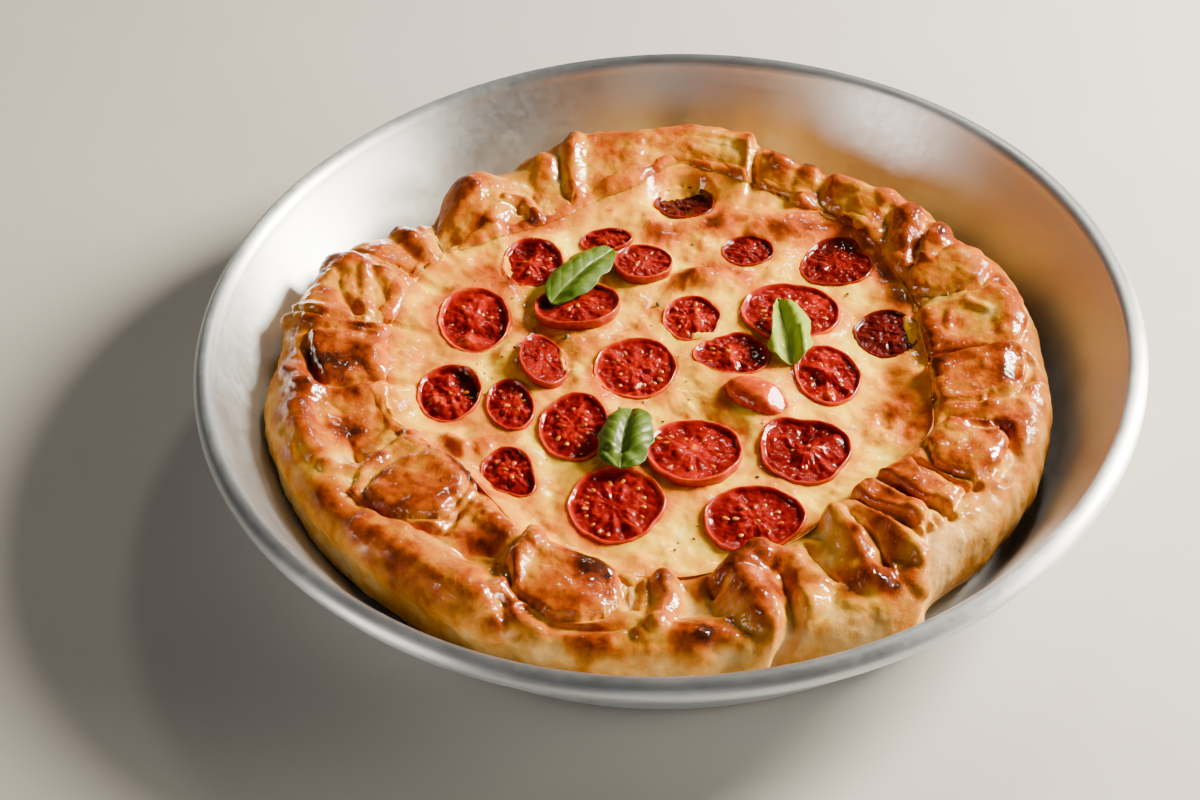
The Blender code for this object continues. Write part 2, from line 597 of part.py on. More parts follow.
def bed_cutters():
    """One cutter for each tomato's bed in the filling, a gap wider than the tomato and open above."""
    beds = bpy.data.collections.new("tomato beds")
    bpy.context.scene.collection.children.link(beds)
    for number, spec in enumerate(TOMATOES, start=1):
        rings, ends = tomato_rings(number, spec, grow=GAP)
        rings = rings[:3] if number not in SKIN_UP else rings[:2]
        top = rings[-1].copy()
        top[:, 2] = BED_HEIGHT
        ends[1][0, 2] = BED_HEIGHT
        ends = [tuple(end[0]) for end in leaning(ends, spec)]
        cutter = solid_of_rings(f"bed_{number:02d}", leaning([*rings, top], spec), ends[0], ends[1])
        for holder in list(cutter.users_collection):
            holder.objects.unlink(cutter)
        beds.objects.link(cutter)
        cutter.hide_render = True
        cutter.display_type = "WIRE"
    return beds


def leaf_point(base, tip, width, droop, arch, u, v):
    """A point of a leaf, u from its base to its tip and v from -1 to 1 across it."""
    base, tip = np.array(base), np.array(tip)
    run = tip - base
    across = np.array((-run[1], run[0], 0.0)) / np.hypot(run[0], run[1])
    half = width / 2 * math.sin(math.pi * u**0.85) ** 0.75 if 0 < u < 1 else 0.0
    rise = arch * math.sin(math.pi * u) - droop * (v * half / (width / 2)) ** 2 + 0.25 * math.sin(9 * u + 2 * v)
    return base + run * u + across * half * v + np.array((0.0, 0.0, rise))


def make_leaf(name, base, tip, width, droop, arch, finish):
    """A thin wavy sheet in triangles, thickened so that both of its faces are split alike."""
    build = bmesh.new()
    rows = []
    for k in range(LEAF_ROWS + 1):
        u = k / LEAF_ROWS
        across = [0.0] if k in (0, LEAF_ROWS) else np.linspace(-1, 1, LEAF_COLUMNS + 1)
        rows.append([build.verts.new(leaf_point(base, tip, width, droop, arch, u, v) * MM) for v in across])
    for here, there in zip(rows, rows[1:]):
        for i in range(LEAF_COLUMNS):
            if len(here) == 1:
                build.faces.new((here[0], there[i], there[i + 1]))
            elif len(there) == 1:
                build.faces.new((here[i], there[0], here[i + 1]))
            else:
                build.faces.new((here[i], there[i], here[i + 1]))
                build.faces.new((here[i + 1], there[i], there[i + 1]))
    bmesh.ops.recalc_face_normals(build, faces=build.faces)
    mesh = bpy.data.meshes.new(name)
    build.to_mesh(mesh)
    build.free()
    mesh.shade_smooth()
    leaf = add_object(name, mesh, finish)
    thicken = leaf.modifiers.new("thickness", "SOLIDIFY")
    thicken.thickness = LEAF_THICKNESS * MM
    thicken.offset = 0.0
    return leaf


def main():
    clear_scene()
    make_pan(material("spun aluminium", (0.72, 0.71, 0.69), 0.36, 1.0))
    make_pastry(material("golden pastry", (0.68, 0.33, 0.08), 0.34))
    make_filling(material("melted cheese", (0.86, 0.62, 0.22), 0.3))
    make_tomatoes(material("roast tomato", (0.56, 0.03, 0.015), 0.25))
    green = material("basil", (0.12, 0.3, 0.03), 0.42)
    for number, (base, tip, width, droop, arch) in enumerate(LEAVES, start=1):
        make_leaf(f"basil_leaf_{number}", base, tip, width, droop, arch, green)


main()
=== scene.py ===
"""The looks of a tomato and cheese pie in its spun aluminium pan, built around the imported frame.

Every length is in millimetres in the frame's own axes, and MM turns it into metres as a mesh is made.
The pan, pastry, filling, tomatoes and leaves repeat the CAD model's own rules on finer grids, so each new
piece lies where its node lies.

A stroke in the tables below is half its width, its height or strength, then x and y of each of its points.
The third value handed to fractal and bubbles is a seed, picked freely.
"""

import math

import bpy
import numpy as np
from mathutils import Matrix, Vector


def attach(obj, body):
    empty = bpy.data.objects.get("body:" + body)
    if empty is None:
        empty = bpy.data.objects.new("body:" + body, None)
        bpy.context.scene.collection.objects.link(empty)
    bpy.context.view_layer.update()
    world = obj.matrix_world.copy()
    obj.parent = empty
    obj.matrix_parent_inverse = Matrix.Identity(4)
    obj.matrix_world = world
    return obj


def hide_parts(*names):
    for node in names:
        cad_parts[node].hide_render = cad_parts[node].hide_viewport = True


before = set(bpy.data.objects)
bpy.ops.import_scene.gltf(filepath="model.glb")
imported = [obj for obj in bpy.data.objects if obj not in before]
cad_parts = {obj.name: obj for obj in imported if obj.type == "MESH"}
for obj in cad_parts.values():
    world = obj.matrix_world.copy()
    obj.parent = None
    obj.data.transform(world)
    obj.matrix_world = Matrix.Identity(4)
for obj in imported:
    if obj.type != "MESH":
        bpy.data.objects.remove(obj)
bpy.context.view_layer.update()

MM = 0.001
BODY = "root"
# The pan
PAN_RADIUS = 150.0
PAN_HEIGHT = 43.0
PAN_SHEET = 1.2
PAN_FLOOR_RADIUS = 118.0
PAN_WALL_FOOT = 121.2  # radius of the inner wall, carried down to the table
PAN_WALL_LEAN = 0.558  # outwards for each millimetre of height
PAN_BEAD_RADIUS = 3.4
PAN_BEAD_POWER = 2.6  # 2 is round, and more is squarer
PAN_BEAD_FROM = 38.0  # height where the bead leaves the inner wall
PAN_BEAD_TO = 35.2  # height where it meets the outer one

# The pastry
PIE_CENTRE = (-4.0, -5.0)
PASTRY_BOTTOM = PAN_SHEET + 0.4
PASTRY_BASE_TOP = 7.5
ROLL_WIDEST_HEIGHT = 17.0
ROLL_INSET = 13.0  # from the outer edge in to the crest of the roll
INNER_LIP_DROP = 3.0
BORDER_SAG = 1.2
CREST_ROW = 7  # of the rows in pastry_sections
GAP = 0.4
WALL_CLEARANCE = 1.0

# Round the pie's centre, as (degrees from +X, millimetres)
OUTER_EDGE = (
    (0, 126), (12, 125.5), (20, 124.5), (31, 122), (42, 122.5), (54, 118), (64, 118.5), (71, 125), (90, 125),
    (98, 127), (103, 124.5), (109, 120.5), (120, 120.5), (126, 118), (130, 112.5), (136, 116), (143, 120.5),
    (152, 127), (158, 124), (164, 127), (170, 125.5), (182, 126.5), (192, 124), (207, 121.5), (215, 119.5),
    (229, 118), (245, 120.5), (262, 123.5), (276, 123), (281, 121), (290, 126), (300, 129.5), (303, 127),
    (306, 122.5), (322, 122.5), (335, 124.5), (350, 125.5),
)
INNER_EDGE = (
    (8, 88), (19, 91), (32, 94), (41, 98), (58, 98), (68, 101), (76, 104), (84, 105), (90, 97), (99, 92),
    (106, 88), (115, 86), (128, 90), (145, 95), (162, 91), (180, 87), (187, 86), (195, 82), (204, 77),
    (217, 74), (227, 76), (240, 83), (252, 86), (268, 87.5), (280, 87.5), (287, 86.5), (296, 86), (305, 84),
    (320, 84), (330, 88), (337, 90), (345, 88),
)
CREST_HEIGHT = (
    (0, 32), (30, 32), (60, 32.5), (78, 35), (98, 35.5), (112, 31.5), (122, 33), (132, 30), (150, 32.5),
    (170, 31), (200, 30), (235, 30.5), (270, 30), (300, 33), (325, 31.5), (345, 31.5),
)
LIP_HEIGHT = (
    (10, 27.8), (40, 27.4), (60, 27.4), (75, 29.5), (86, 29.5), (97, 27.5), (140, 27.6), (180, 27.6),
    (200, 28.2), (215, 28.8), (250, 28.6), (265, 26.6), (300, 29), (325, 29.2), (345, 28.6),
)

# Strokes: ridges, blisters, valleys and creases in the border. Points are measured from the pan's middle,
# and on the outer side they lie as far out as the dough is long.
PLEATS = (
    # back
    (3.5, 1.2, 2, 100, 15, 104, 30, 98), (4, 1.6, -1, 93, 10, 97, 22, 93), (7.5, 2.4, -14, 90, -10, 91),
    (6, 1.5, -5, 100, -4, 94),
    # back right
    (8.5, 2.8, 45, 90), (5, 2.4, 52, 77, 56, 88), (5.5, 2.4, 52, 75, 57, 65), (4.5, -1.6, 49, 68),
    (3.4, -1.8, 61, 86, 59, 75, 61, 66), (8.5, 3, 65, 78, 69, 76), (8, 2.2, 80, 71),
    (5.4, 2.6, 72, 69, 74, 56), (3.2, -2.2, 80, 64, 78, 52), (5.8, 3.2, 87, 60, 81, 40),
    (3.2, -2.8, 91, 54, 85, 37), (5.4, 2.8, 97, 52, 89, 38), (2.6, 1.4, 65, 68, 70, 61, 73, 50, 72, 43),
    # right
    (3, -2.2, 84, 17, 98, 17, 111, 21), (2.2, 0.8, 91, 3, 93, 10, 99, 12, 105, 7),
    (6, 1.5, 113, 4, 112, 14), (4, -2.6, 108, -25, 110, -16),
    (2.4, -2.4, 99, -32, 106, -31, 112, -25, 114, -17), (7, 1.2, 116, -14, 113, -32, 109, -50),
    (5.5, 1.6, 88, -33, 97, -34), (2.8, -2.2, 91, -44, 101, -46),
    (3.5, -2.6, 101, -45, 103, -57, 97, -65), (3.2, -3.2, 72, -58, 81, -68, 88, -69),
    (3, -2.8, 60, -63, 68, -74, 78, -81), (3, -2.6, 52, -71, 60, -81, 67, -92),
    # front right
    (5.2, 3.4, 52, -74, 59, -85, 65, -95, 66, -106), (2.6, -2, 49, -78, 54, -89, 56, -98),
    (6.5, 5, 44, -75, 49, -89, 52, -105), (6, 3.2, 22, -87, 31, -93, 36, -104, 34, -111),
    (4.5, -5, 27, -100, 28, -116, 23, -131), (8, 5.4, 19, -87, 14, -96, 19, -109, 22, -120, 14, -135),
    (4.5, -2.8, 9, -99), (4.5, 2.6, -14, -117, 0, -118, 12, -122),
    # near
    (7.5, 3.6, -95, -71, -84, -76, -74, -87, -59, -99),
    (2.2, -2.2, -97, -60, -88, -67, -79, -72, -71, -74, -67, -67), (5, 1.8, -64, -60, -57, -69, -50, -78),
    (2.6, 1.6, -84, -28, -75, -32, -68, -42, -61, -52), (4.8, 4.6, -7, -93, -6, -104, -10, -114),
    (3.2, -3, -48, -106, -40, -112, -28, -115, -16, -113),
    (6.5, 2, -50, -109, -38, -118, -15, -122, 0, -124), (5.2, 3.6, -45, -80, -50, -89, -53, -98),
    (10, 3.2, -122, -20, -116, -42, -104, -64, -90, -82, -72, -98, -57, -108),
    (2.8, -2.4, -54, -104, -51, -113),
    # left
    (6, 2.6, -119, -8, -115, -24, -108, -40), (3.6, 2.4, -106, -45, -98, -46, -91, -40),
    (3, 1.4, -100, 48, -99, 38, -98, 28), (2.8, -4, -117, 12, -115, 3, -111, -5),
    (9.5, 2, -99, -12, -98, -18), (4.2, 2.2, -122, 2, -114, -10), (5.2, 3.2, -123, 28, -112, 24, -95, 21),
    # back left
    (12, 4, -65, 88, -60, 74), (4.5, 1.6, -70, 96, -61, 97, -55, 89, -53, 80, -56, 71),
    (4, -2, -76, 78, -70, 64), (4.5, 2.2, -27, 88, -27, 100, -26, 112),
    (4.2, 2, -94, 47, -88, 37, -86, 30), (2.8, -2.6, -118, 58, -104, 57, -94, 50, -83, 49),
    (7.5, 1.6, -101, 64, -95, 65), (5.2, 3.2, -88, 70, -79, 60), (4.4, -4, -78, 78, -74, 62),
    (2.8, 2.6, -51, 83, -45, 83, -41, 76), (2.6, -1.6, -47, 78), (6.5, 2, -43, 104, -36, 98),
)

# Puffed panels of dough, or pockets where the height is negative: height, how far in the edge is round, and
# x and y of each corner
PANELS = (
    # near
    (1.6, 3, -100, -56, -97, -46, -91, -38, -84, -29, -78, -28, -70, -37, -62, -50, -61, -58, -68, -67,
     -75, -73, -86, -69, -96, -62),
    (4.2, 8, -95, -57, -91, -48, -84, -42, -76, -40, -69, -43, -64, -50, -66, -60, -72, -68, -80, -68,
     -90, -63),
    (-4.6, 5, -71, -79, -65, -75, -55, -76, -50, -82, -52, -91, -60, -90, -68, -86),
    (4.4, 8, -52, -86, -47, -78, -43, -77, -34, -83, -24, -87, -21, -92, -21, -103, -25, -108, -32, -110,
     -40, -108, -46, -102, -51, -99),
    (-3.4, 3.5, -21, -92, -12, -92, -12, -100, -14, -109, -21, -108, -22, -100),
    (-4.6, 7, -4, -96, 6, -93, 13, -97, 13, -108, 14, -117, 3, -115, -6, -112),
    # front right
    (-4.6, 5, 33, -83, 42, -87, 46, -98, 46, -106, 41, -107, 36, -103, 31, -93),
    (-3.2, 4, 51, -98, 56, -94, 65, -95, 67, -101, 61, -109, 52, -107),
    (3.4, 4, 49, -66, 57, -61, 63, -66, 70, -76, 73, -86, 66, -86, 59, -77, 53, -71),
    (3.6, 4.5, 59, -61, 70, -55, 77, -61, 84, -70, 79, -79, 71, -74, 64, -67),
    # right
    (3.4, 7, 84, -38, 97, -42, 102, -48, 97, -60, 88, -66, 78, -58, 76, -48),
    (1.6, 4, 84, -11, 100, -10, 111, -9, 113, -20, 108, -29, 96, -32, 83, -30),
    (3, 8, 81, 16, 91, 20, 104, 19, 115, 16, 117, 4, 112, -7, 98, -8, 84, -8, 80, 3),
    (4.2, 7, 83, 24, 92, 20, 104, 21, 109, 28, 107, 37, 98, 40, 88, 38, 83, 32),
    # left
    (3.4, 7, -116, 18, -102, 20, -93, 18, -90, 8, -90, -2, -100, -3, -110, -4, -114, 6),
    (-2.6, 7, -112, -12, -102, -10, -89, -6, -87, -22, -92, -36, -98, -46, -104, -36, -108, -25),
    (-2.4, 4, -104, -24, -99, -30, -94, -40, -98, -45, -103, -38),
    # back left
    (3, 6, -122, 30, -118, 44, -113, 57, -103, 58, -95, 53, -85, 50, -82, 42, -86, 28, -98, 24, -112, 24),
    (-3.2, 5, -109, 48, -103, 46, -102, 36, -95, 25, -103, 22, -110, 30, -112, 40),
    (-2.2, 5, -53, 95, -41, 96, -36, 88, -40, 80, -50, 84),
)

# Edges of dough that lap over the next pleat: the step (negative where the upper layer is on the right hand),
# how far back the upper layer slopes down, and x and y of each point along the edge
LAPS = (
    (-1.6, 12, -29, 86, -31, 96, -32, 105), (3.4, 12, 35, 82, 36, 94, 39, 108),
    (-2.6, 16, 84, -11, 100, -10, 111, -9), (-2.2, 16, -113, -6, -103, -7, -91, -4),
    (-3, 14, 70, -84, 69, -98, 66, -118, 62, -138),
)
LAP_ROUNDING = 2.2
LAP_CREASE = 2.4
LAP_CREASE_AT = 0.6
LAP_CREASE_DEPTH = 0.6
LAP_FADE = 6.0  # how far past its ends
PANEL_CREASE = 1.8
PANEL_CREASE_DEPTH = 0.3
LUMPS = ((17.0, 1.1), (8.0, 0.55))  # size and height of the unevenness all over the dough
LUMP_SEED = 7
LUMP_CELLS = 64

# The filling
FILLING_LEVEL = 24.0
FILLING_UNEVENNESS = 0.7
FILLING_LUMPS = 22.0  # how far apart they are
FILLING_SWELLS = (
    (8, 1.6, 6, 39, 21, 37), (7, 1.2, 33, 33, 38, 30), (8, 1.2, -52, 44, -46, 37),
    (7, 1.8, -70, -31, -58, -36), (8, 1, 20, -8), (8, 1, -30, 10, -26, 18), (10, -1.2, 60, -30, 66, -12),
    (10, -1, -45, -72, -30, -84), (12, 1.4, 30, 74, 45, 66), (12, 1, -20, 78, -5, 72),
)

# The halved tomatoes: middle x, y, width along X, width along Y, turn in degrees, height of the cut face,
# and how far the face leans towards +X and +Y in degrees.
TOMATOES = (
    (-42.5, 54.5, 21, 24, 0, 25.4, 0, -4),
    (-17, 64.5, 18, 13, 0, 25.2, -4, 4),
    (-5, 50, 20, 21, 0, 26.6, 4, 8),
    (-28, 29.5, 29, 24, 0, 27.2, -2, 8),
    (-62.5, 26.5, 24, 31, 0, 25.4, 3, -4),
    (-70.5, -8, 21, 25, 0, 25.2, -4, -4),
    (-40, 3, 15, 26, 8, 27.0, 16, 6),
    (-51, -15.5, 15, 24, 12, 25.6, -4, 0),
    (-10.5, -2, 27, 28, 0, 25.6, 0, -2),
    (9, 20.5, 19, 22, 0, 25.4, 0, 0),
    (42, 21, 33, 28, -10, 25.6, 2, 0),
    (21, 1.5, 25, 21, 0, 25.6, 3, 3),
    (60, 45.5, 23, 26, 20, 24.8, -3, 5),
    (31, 54.5, 18, 17, 0, 24.6, 0, 4),
    (11.5, 83, 21, 20, 0, 24.6, 0, 6),
    (72, 8, 21, 24, 0, 24.8, -4, 2),
    (50.5, -10.5, 21, 26, 10, 25.6, 3, -4),
    (27, -19.5, 22, 13, -38, 26.4, 0, 0),
    (-31, -27.5, 22.5, 29, 0, 25.8, -4, -3),
    (5.5, -42.5, 30, 30, 0, 27.2, 2, 6),
    (40, -45, 27, 27, 0, 25.8, 3, -2),
    (-20.5, -62.5, 29, 30, 0, 25.8, -3, -4),
    (21.5, -71.5, 29, 26, 0, 25.6, 0, -3),
    (-52, -44.5, 16, 21, 25, 25.0, -4, -4),
)
SKIN_UP = (18,)  # lies with its cut face down

# The basil leaves: base and tip as (x, y, height), how far the sides droop, how far it arches, and how much
# paler its green is. The second leaf's 0.9 is painted light, lifting a leaf that lies turned away from the
# lamps.
LEAVES = (
    ((-36.8, 30.5, 28.2), (-15, 56, 28.4), 1.6, 1.4, 0),
    ((40.5, -6, 27.8), (38, 23.5, 29.8), 2.4, 1.2, 0.9),
    ((-17.5, -50.5, 28.8), (-12.5, -24, 29.2), 1.2, 1.6, -0.05),
)

# Noise, random draws, and how fine the grids are
NOISE_CELLS = 40
SPOT_FALL = 1.6  # how steeply a soft spot fades
FAR = 99.0  # from the nearest tomato, where none is near
FULL_TURN = 6.28  # near enough for a random direction
# Seeds of random draws, to which a tomato's number is added for its outline and its face
OUTLINE_DRAWS = 100
FACE_DRAWS = 300
SEED_DRAWS = 500
PAN_COLUMNS = 300
PAN_UNEVENNESS = 0.25
PASTRY_COLUMNS = 900
PASTRY_FINER = 7
FILLING_COLUMNS = 600
FILLING_ROWS = 110
TOMATO_COLUMNS = 128
TOMATO_FACE_ROWS = 34
SEED_RINGS = 7
SEED_SIDES = 10
LEAF_FINE_ROWS = 70
LEAF_FINE_COLUMNS = 49
LEAF_VEINS = 6
LEAF_FINE_THICKNESS = 0.5
LEAF_APART = 60.0  # keeps the unevenness of the leaves apart
# How far a leaf bulges between its veins, and how deep its midrib and side veins lie
QUILT = 0.18
MIDRIB = 0.25
SIDE_VEIN = 0.06

# How far the hollows between the folds are filled, and where further: degrees from +X, how far round, amount
FULLNESS = 0.45
FULLER_FOLDS = ((52, 28, 0.40), (300, 18, 0.30), (84, 12, 0.25), (142, 24, 0.35))
FOLD_ROUNDS = 3  # how many times this is done, each over the last
# Unevenness: height, grain, seed, and how many ever finer grains are added up
PASTRY_NOISE = ((0.60, 5.5, 11, 2), (0.16, 2.2, 12, 2))
# Blisters on the top: height, how far apart, seed, and how many of the places have one
PASTRY_BLISTERS = ((0.75, 8.0, 14, 0.30), (0.42, 3.6, 15, 0.34))
# Browning, on a scale from pale (0) to burnt (1): of the wall, of the top, of each millimetre that a place
# stands out, unevenness, and strokes. Some strokes are painted shade or painted light on top of browning.
WALL_TONE = 0.22
TOP_TONE = 0.48
STANDING_TONE = 0.14
PASTRY_MOTTLE = ((0.32, 15.0, 17, 3), (0.26, 5.0, 18, 3))
BROWNING_AND_PAINTED_LIGHT = (
    # The first two rows set each place to how bright it looked. The darkening at (-103, 5) and (-102, -25) on
    # the left is partly painted shade, and the paling at (105, 6) is painted light.
    (8, 0.22, -103, 5), (9, 0.5, -102, -25), (6, 0.08, -92, 36), (5, 0.5, 57, -107),
    (9, -0.06, -31, -101), (6, -0.1, 44, -94), (7, -0.24, 105, 6),
    # near and left
    (13, 0.2, -84, -58, -76, -56), (2.6, 0.32, -95, -60, -86, -69, -78, -72, -71, -74),
    (5, 0.34, -66, -76, -57, -77), (6, 0.16, -62, -83, -56, -88),
    (1.4, 0.45, -76, -36, -70, -44, -62, -52), (2, 0.5, -64, -49), (12, 0.2, -34, -98, -27, -96),
    (5, 0.14, -50, -90), (11, 0.2, -107, 8, -97, 10), (4, 0.35, -101, 19), (2.6, 0.22, -116, 12, -112, 2),
    (8, 0.12, -98, -14, -97, -30), (3.5, -0.3, -107, -27, -102, -42), (4, -0.1, -91, -26, -85, -36),
    (4, 0.1, -116, -6, -116, -30), (5, 0.12, -108, -56, -104, -62), (6, 0.12, -86, -88, -74, -100),
    (3, -0.14, -92, -71, -80, -77), (3.5, -0.14, -56, -101), (6, 0.05, -58, -72),
    # painted light: the pale hollow along x -17, lit on its inner wall
    (4, -0.3, -17, -93, -17, -107), (3, -0.12, -45, -106, -25, -112),
    # back left
    (6, 0.18, -112, 50, -98, 56), (5, 0.26, -88, 48), (7, 0.04, -103, 40), (5, -0.1, -110, 28),
    (2, 0.24, -118, 23, -96, 21), (9, -0.24, -100, 66), (4, 0.06, -86, 68, -84, 56),
    (4, -0.22, -77, 71, -72, 63), (6, 0.3, -63, 87), (3.6, 0.34, -60, 71), (3, -0.16, -55, 83, -54, 74),
    (7, 0.12, -47, 104, -35, 106), (6, 0.14, -30, 112), (2.4, -0.16, -24, 96, -24, 111),
    # back
    # painted light: the pale stroke from (20, 106) to (32, 98), a lit pillow
    (4, 0.26, -18, 92), (4, 0.2, 5, 94, 14, 92), (6, -0.22, 20, 106, 32, 98), (5, 0.28, 44, 98, 54, 92),
    (4, 0.26, 47, 88), (5, 0.34, 49, 71), (4, 0.18, 68, 88, 78, 79), (3, 0.3, 80, 75), (4.5, 0.3, 89, 69),
    (3.5, 0.26, 76, 62),
    # right
    (3, 0.32, 89, 50, 82, 38), (2.6, 0.5, 85, 36), (6, 0.16, 98, 47), (5, 0.18, 76, 30),
    (5, 0.32, 109, 23), (6, -0.12, 99, 31), (2.2, 0.24, 85, -9, 100, -9, 113, -8),
    (11, 0.2, 92, -18, 102, -20), (4, 0.42, 107, -24), (2.4, 0.24, 94, -42, 103, -44),
    (4.5, 0.14, 78, -47),
    # front right
    (5, 0.02, 66, -60, 78, -68), (2.4, 0.22, 66, -69, 76, -79), (5, -0.02, 57, -66, 64, -74),
    (5, -0.1, 42, -82, 44, -92), (3.5, 0.14, 54, -73, 58, -82), (3, 0.26, 62, -85), (8, 0.14, 56, -104),
    (6, 0.4, 59, -101), (5, 0.28, 46, -107), (6, 0.24, 12, -89, 26, -92), (4, 0.26, 26, -94, 25, -108),
    (2.6, 0.5, 9, -98), (5, 0.28, 3, -122), (13, -0.3, 85, -82, 75, -97), (3, -0.22, 66, -92, 66, -112),
    (7, -0.24, 30, -114, 52, -116), (2, -0.2, 32, -92, 36, -103),
)

# Where the cheese climbs over the crust's inner edge, as (degrees from +X, share)
CHEESE_CLIMB = (
    (10, 0.3), (40, 0.5), (60, 0.9), (80, 1.0), (110, 1.0), (150, 1.0), (185, 1.0), (197, 0.7), (210, 0.1),
    (225, 0.3), (236, 0.7), (250, 0.3), (265, 0.1), (300, 0.0), (325, 0.0), (345, 0.2),
)
CHEESE_FROM_ROW = 13.2
CHEESE_TO_ROW = 10.6
# How far the cheese stays under the rims of some tomatoes, and of the others
CHEESE_BELOW_RIM = {3: 3.2, 4: 3.6, 7: 3.0, 17: 0.9, 19: 1.1, 20: 3.4, 21: 1.3, 22: 0.8, 23: 1.2, 11: 0.9}
BELOW_RIM = 0.4
# How far it sinks or climbs to a tomato, how far from the tomato, and how deep the bed under one is
CLIMB_LIMITS = (-1.5, 3.2)
CLIMB_REACH = 5.0
BED_DEPTH = 4.4
COVER_SHOWS = (0.15, 0.35)  # the share from which cheese on a tomato begins, and is whole
BELOW_LIP = 2.4  # how far under the crust's inner lip it ends where it doesn't climb
SKIRT_THICKNESS = (-0.8, 1.6)  # thinnest and thickest on the crust's inner slope
HALO_WIDTH = 2.4  # of the stain round each tomato
HALO_STAIN = 0.62
CHEESE_TONE = 0.33
# The same numbers as for the pastry
CHEESE_NOISE = ((2.0, 13.0, 20, 2), (1.3, 5.5, 21, 3))
CHEESE_BUBBLES = ((0.9, 6.5, 22, 0.35), (0.4, 3.0, 23, 0.45))
CHEESE_MOTTLE = ((0.28, 16.0, 27, 3), (0.17, 5.0, 28, 3))
# Strokes: domes and hollows of the cheese
CHEESE_RELIEF = (
    (6, 1.2, -58, 52, -50, 43), (6.5, 2.2, 12, 42, 19, 42), (4.5, 1.8, 28, 41), (4.5, 1, 4, 38),
    (7, 1.6, -59, -31), (4, 2, -70, -30, -66, -35), (4.5, 1.4, 17, -23), (4.5, 2.4, -30, -1, -28, -6),
    (3.5, 2, -43, -13), (5, 1.2, -46, -30), (6, 1.4, 8, -8, 12, -14, 5, -20), (5, 1.2, -53, 7),
    (6, 0.8, -7, 28, -8, 18), (3.5, 1.2, 22, 27, 23, 18), (3.5, 0.8, 24, -38, 24, -52),
    (4, 1.2, -84, -6, -84, 12, -80, 32), (4, 2, -71, 64), (4, 1.2, -78, 57), (4, 1, -66, 57),
    (4, 1.4, -54, 66), (4.5, 1, -33, 66), (6, 1, 35, 66, 46, 66), (4, 0.8, 38, 44),
    (5, 0.6, 55, -56, 46, -62),
)
# Strokes: fine ripples that catch the light
RIPPLES = (
    (4.5, 1, 56, -26, 61, -32), (3.5, 0.8, 55, -44, 54, -52), (5, 0.8, 40, -60, 47, -64),
    (4, 0.8, -70, -28, -64, -36), (7, 0.7, -72, 62, -66, 54), (4, 0.6, -54, 8), (5, 0.5, 64, 0, 66, -8),
    (5, 0.5, -40, -66, -52, -56), (3, 0.6, 21, 30), (5, 0.4, 4, 34, -6, 19),
)
# Strokes: cheese that ran over the edge of a tomato
COVERS = (
    (3, 0.6, -53, 57, -51, 50), (3, 0.8, -61, -50, -56, -56), (2.5, 0.7, -57, -34), (4, 1, 13, 93, 4, 91),
    (1.8, 0.4, -34, 10, -33, 0), (2, 0.8, 10, 12, 15, 11), (3, 0.6, 80, 14, 81, 4),
)
# Strokes: toasted, creamy and tomato-stained places of the cheese. Some of the toasted strokes are painted
# shade where the crust shades the cheese.
TOASTED_AND_SHADE = (
    # Painted shade: the strokes along the back, at y 60 to 78, and along the right-hand edge by the crust, at
    # x 57 to 78.
    (12, 0.2, 30, 62, 52, 66), (7, 0.22, 64, 60, 72, 46), (6.5, 0.36, -58, 53, -50, 43),
    (6, 0.32, -50, 24, -43, 21), (7, 0.34, 11, 43, 19, 43), (4.8, 0.34, 28, 41), (4.5, 0.22, 4, 38),
    (7.5, 0.34, -59, -31), (5, 0.2, -70, -32), (5, 0.3, 17, -23), (5, 0.2, -38, -70),
    (5, 0.1, -38, -56, -45, -62), (8, 0.42, 2, 66, 14, 66, 22, 68), (8, 0.26, 45, 62, 64, 66),
    (5, 0.34, 24, 78, 20, 70), (7, 0.24, 70, -12, 72, -38), (5, 0.08, 60, -46, 57, -32),
    (3, 0.26, -84, 50, -82, 44), (2.5, 0.26, -78, 54), (3.5, 0.14, -70, 54), (6, 0.22, -4, 25, -8, 34),
    (5, 0.1, -61, 8, -55, 4), (1.6, 0.4, -15, 79), (6, 0.16, -45, 72, -30, 74), (4, 0.16, 17, 35),
    (4.5, 0.16, -12, 18, -7, 15), (4, 0.1, -64, -22, -56, -24), (5, 0.3, 74, 36, 78, 20),
)
CREAM = (
    (4, 0.8, -84, -8, -86, 12, -82, 36), (5, 0.9, -70, 64), (5, 0.9, -54, 66), (4, 0.7, -33, 66),
    (5, 0.6, -5, 62), (8, 0.5, 9, -12), (5, 0.5, 2, -20), (5, 0.7, -29, -3), (6, 0.6, 24, -30, 24, -44),
    (3, 0.7, -43, -13), (4, 0.5, -46, -31), (5, 0.5, 38, 44), (6, 0.4, 2, -62, 2, -78), (4, 0.5, 23, 22),
    (4, 0.5, -52, 6), (4, 0.4, 60, 28, 66, 24),
)
STAINED = (
    (3, 0.5, -78, 22, -77, 34, -70, 42), (3.5, 0.9, -25, -4, -21, -14), (4, 0.6, -76, -18, -68, -22),
    (5, 0.5, -38, 20), (2.5, 0.5, -36, -62, -34, -70, -28, -77), (3, 0.4, -60, 42, -52, 34),
    (3, 0.4, -62, 9, -70, 8), (3, 0.4, 41, -14), (2.5, 0.4, 23, -44), (2, 0.5, -30, -7),
)

# Waves round every outline: how many, and how high as a share of the radius
OUTLINE_WAVES = ((3, 0.018), (5, 0.014), (8, 0.010), (13, 0.006))
# The cut faces: walls of flesh across the jelly, the depth of the jelly, and how large the core is
TOMATO_INSIDES = {
    1: (2, 2.8, 0.1), 3: (2, 2, 0.3), 5: (2, 3.4, 0.1), 6: (2, 2.8, 0.16), 7: (1, 1.6, 0.2),
    9: (3, 2, 0.38), 11: (2, 2.6, 0.26), 15: (1, 4, 0), 17: (2, 3, 0.16), 19: (3, 2, 0.4),
    20: (2, 2.2, 0.3), 21: (2, 2.8, 0.14), 22: (3, 2.2, 0.4), 23: (2, 2.4, 0.28),
}
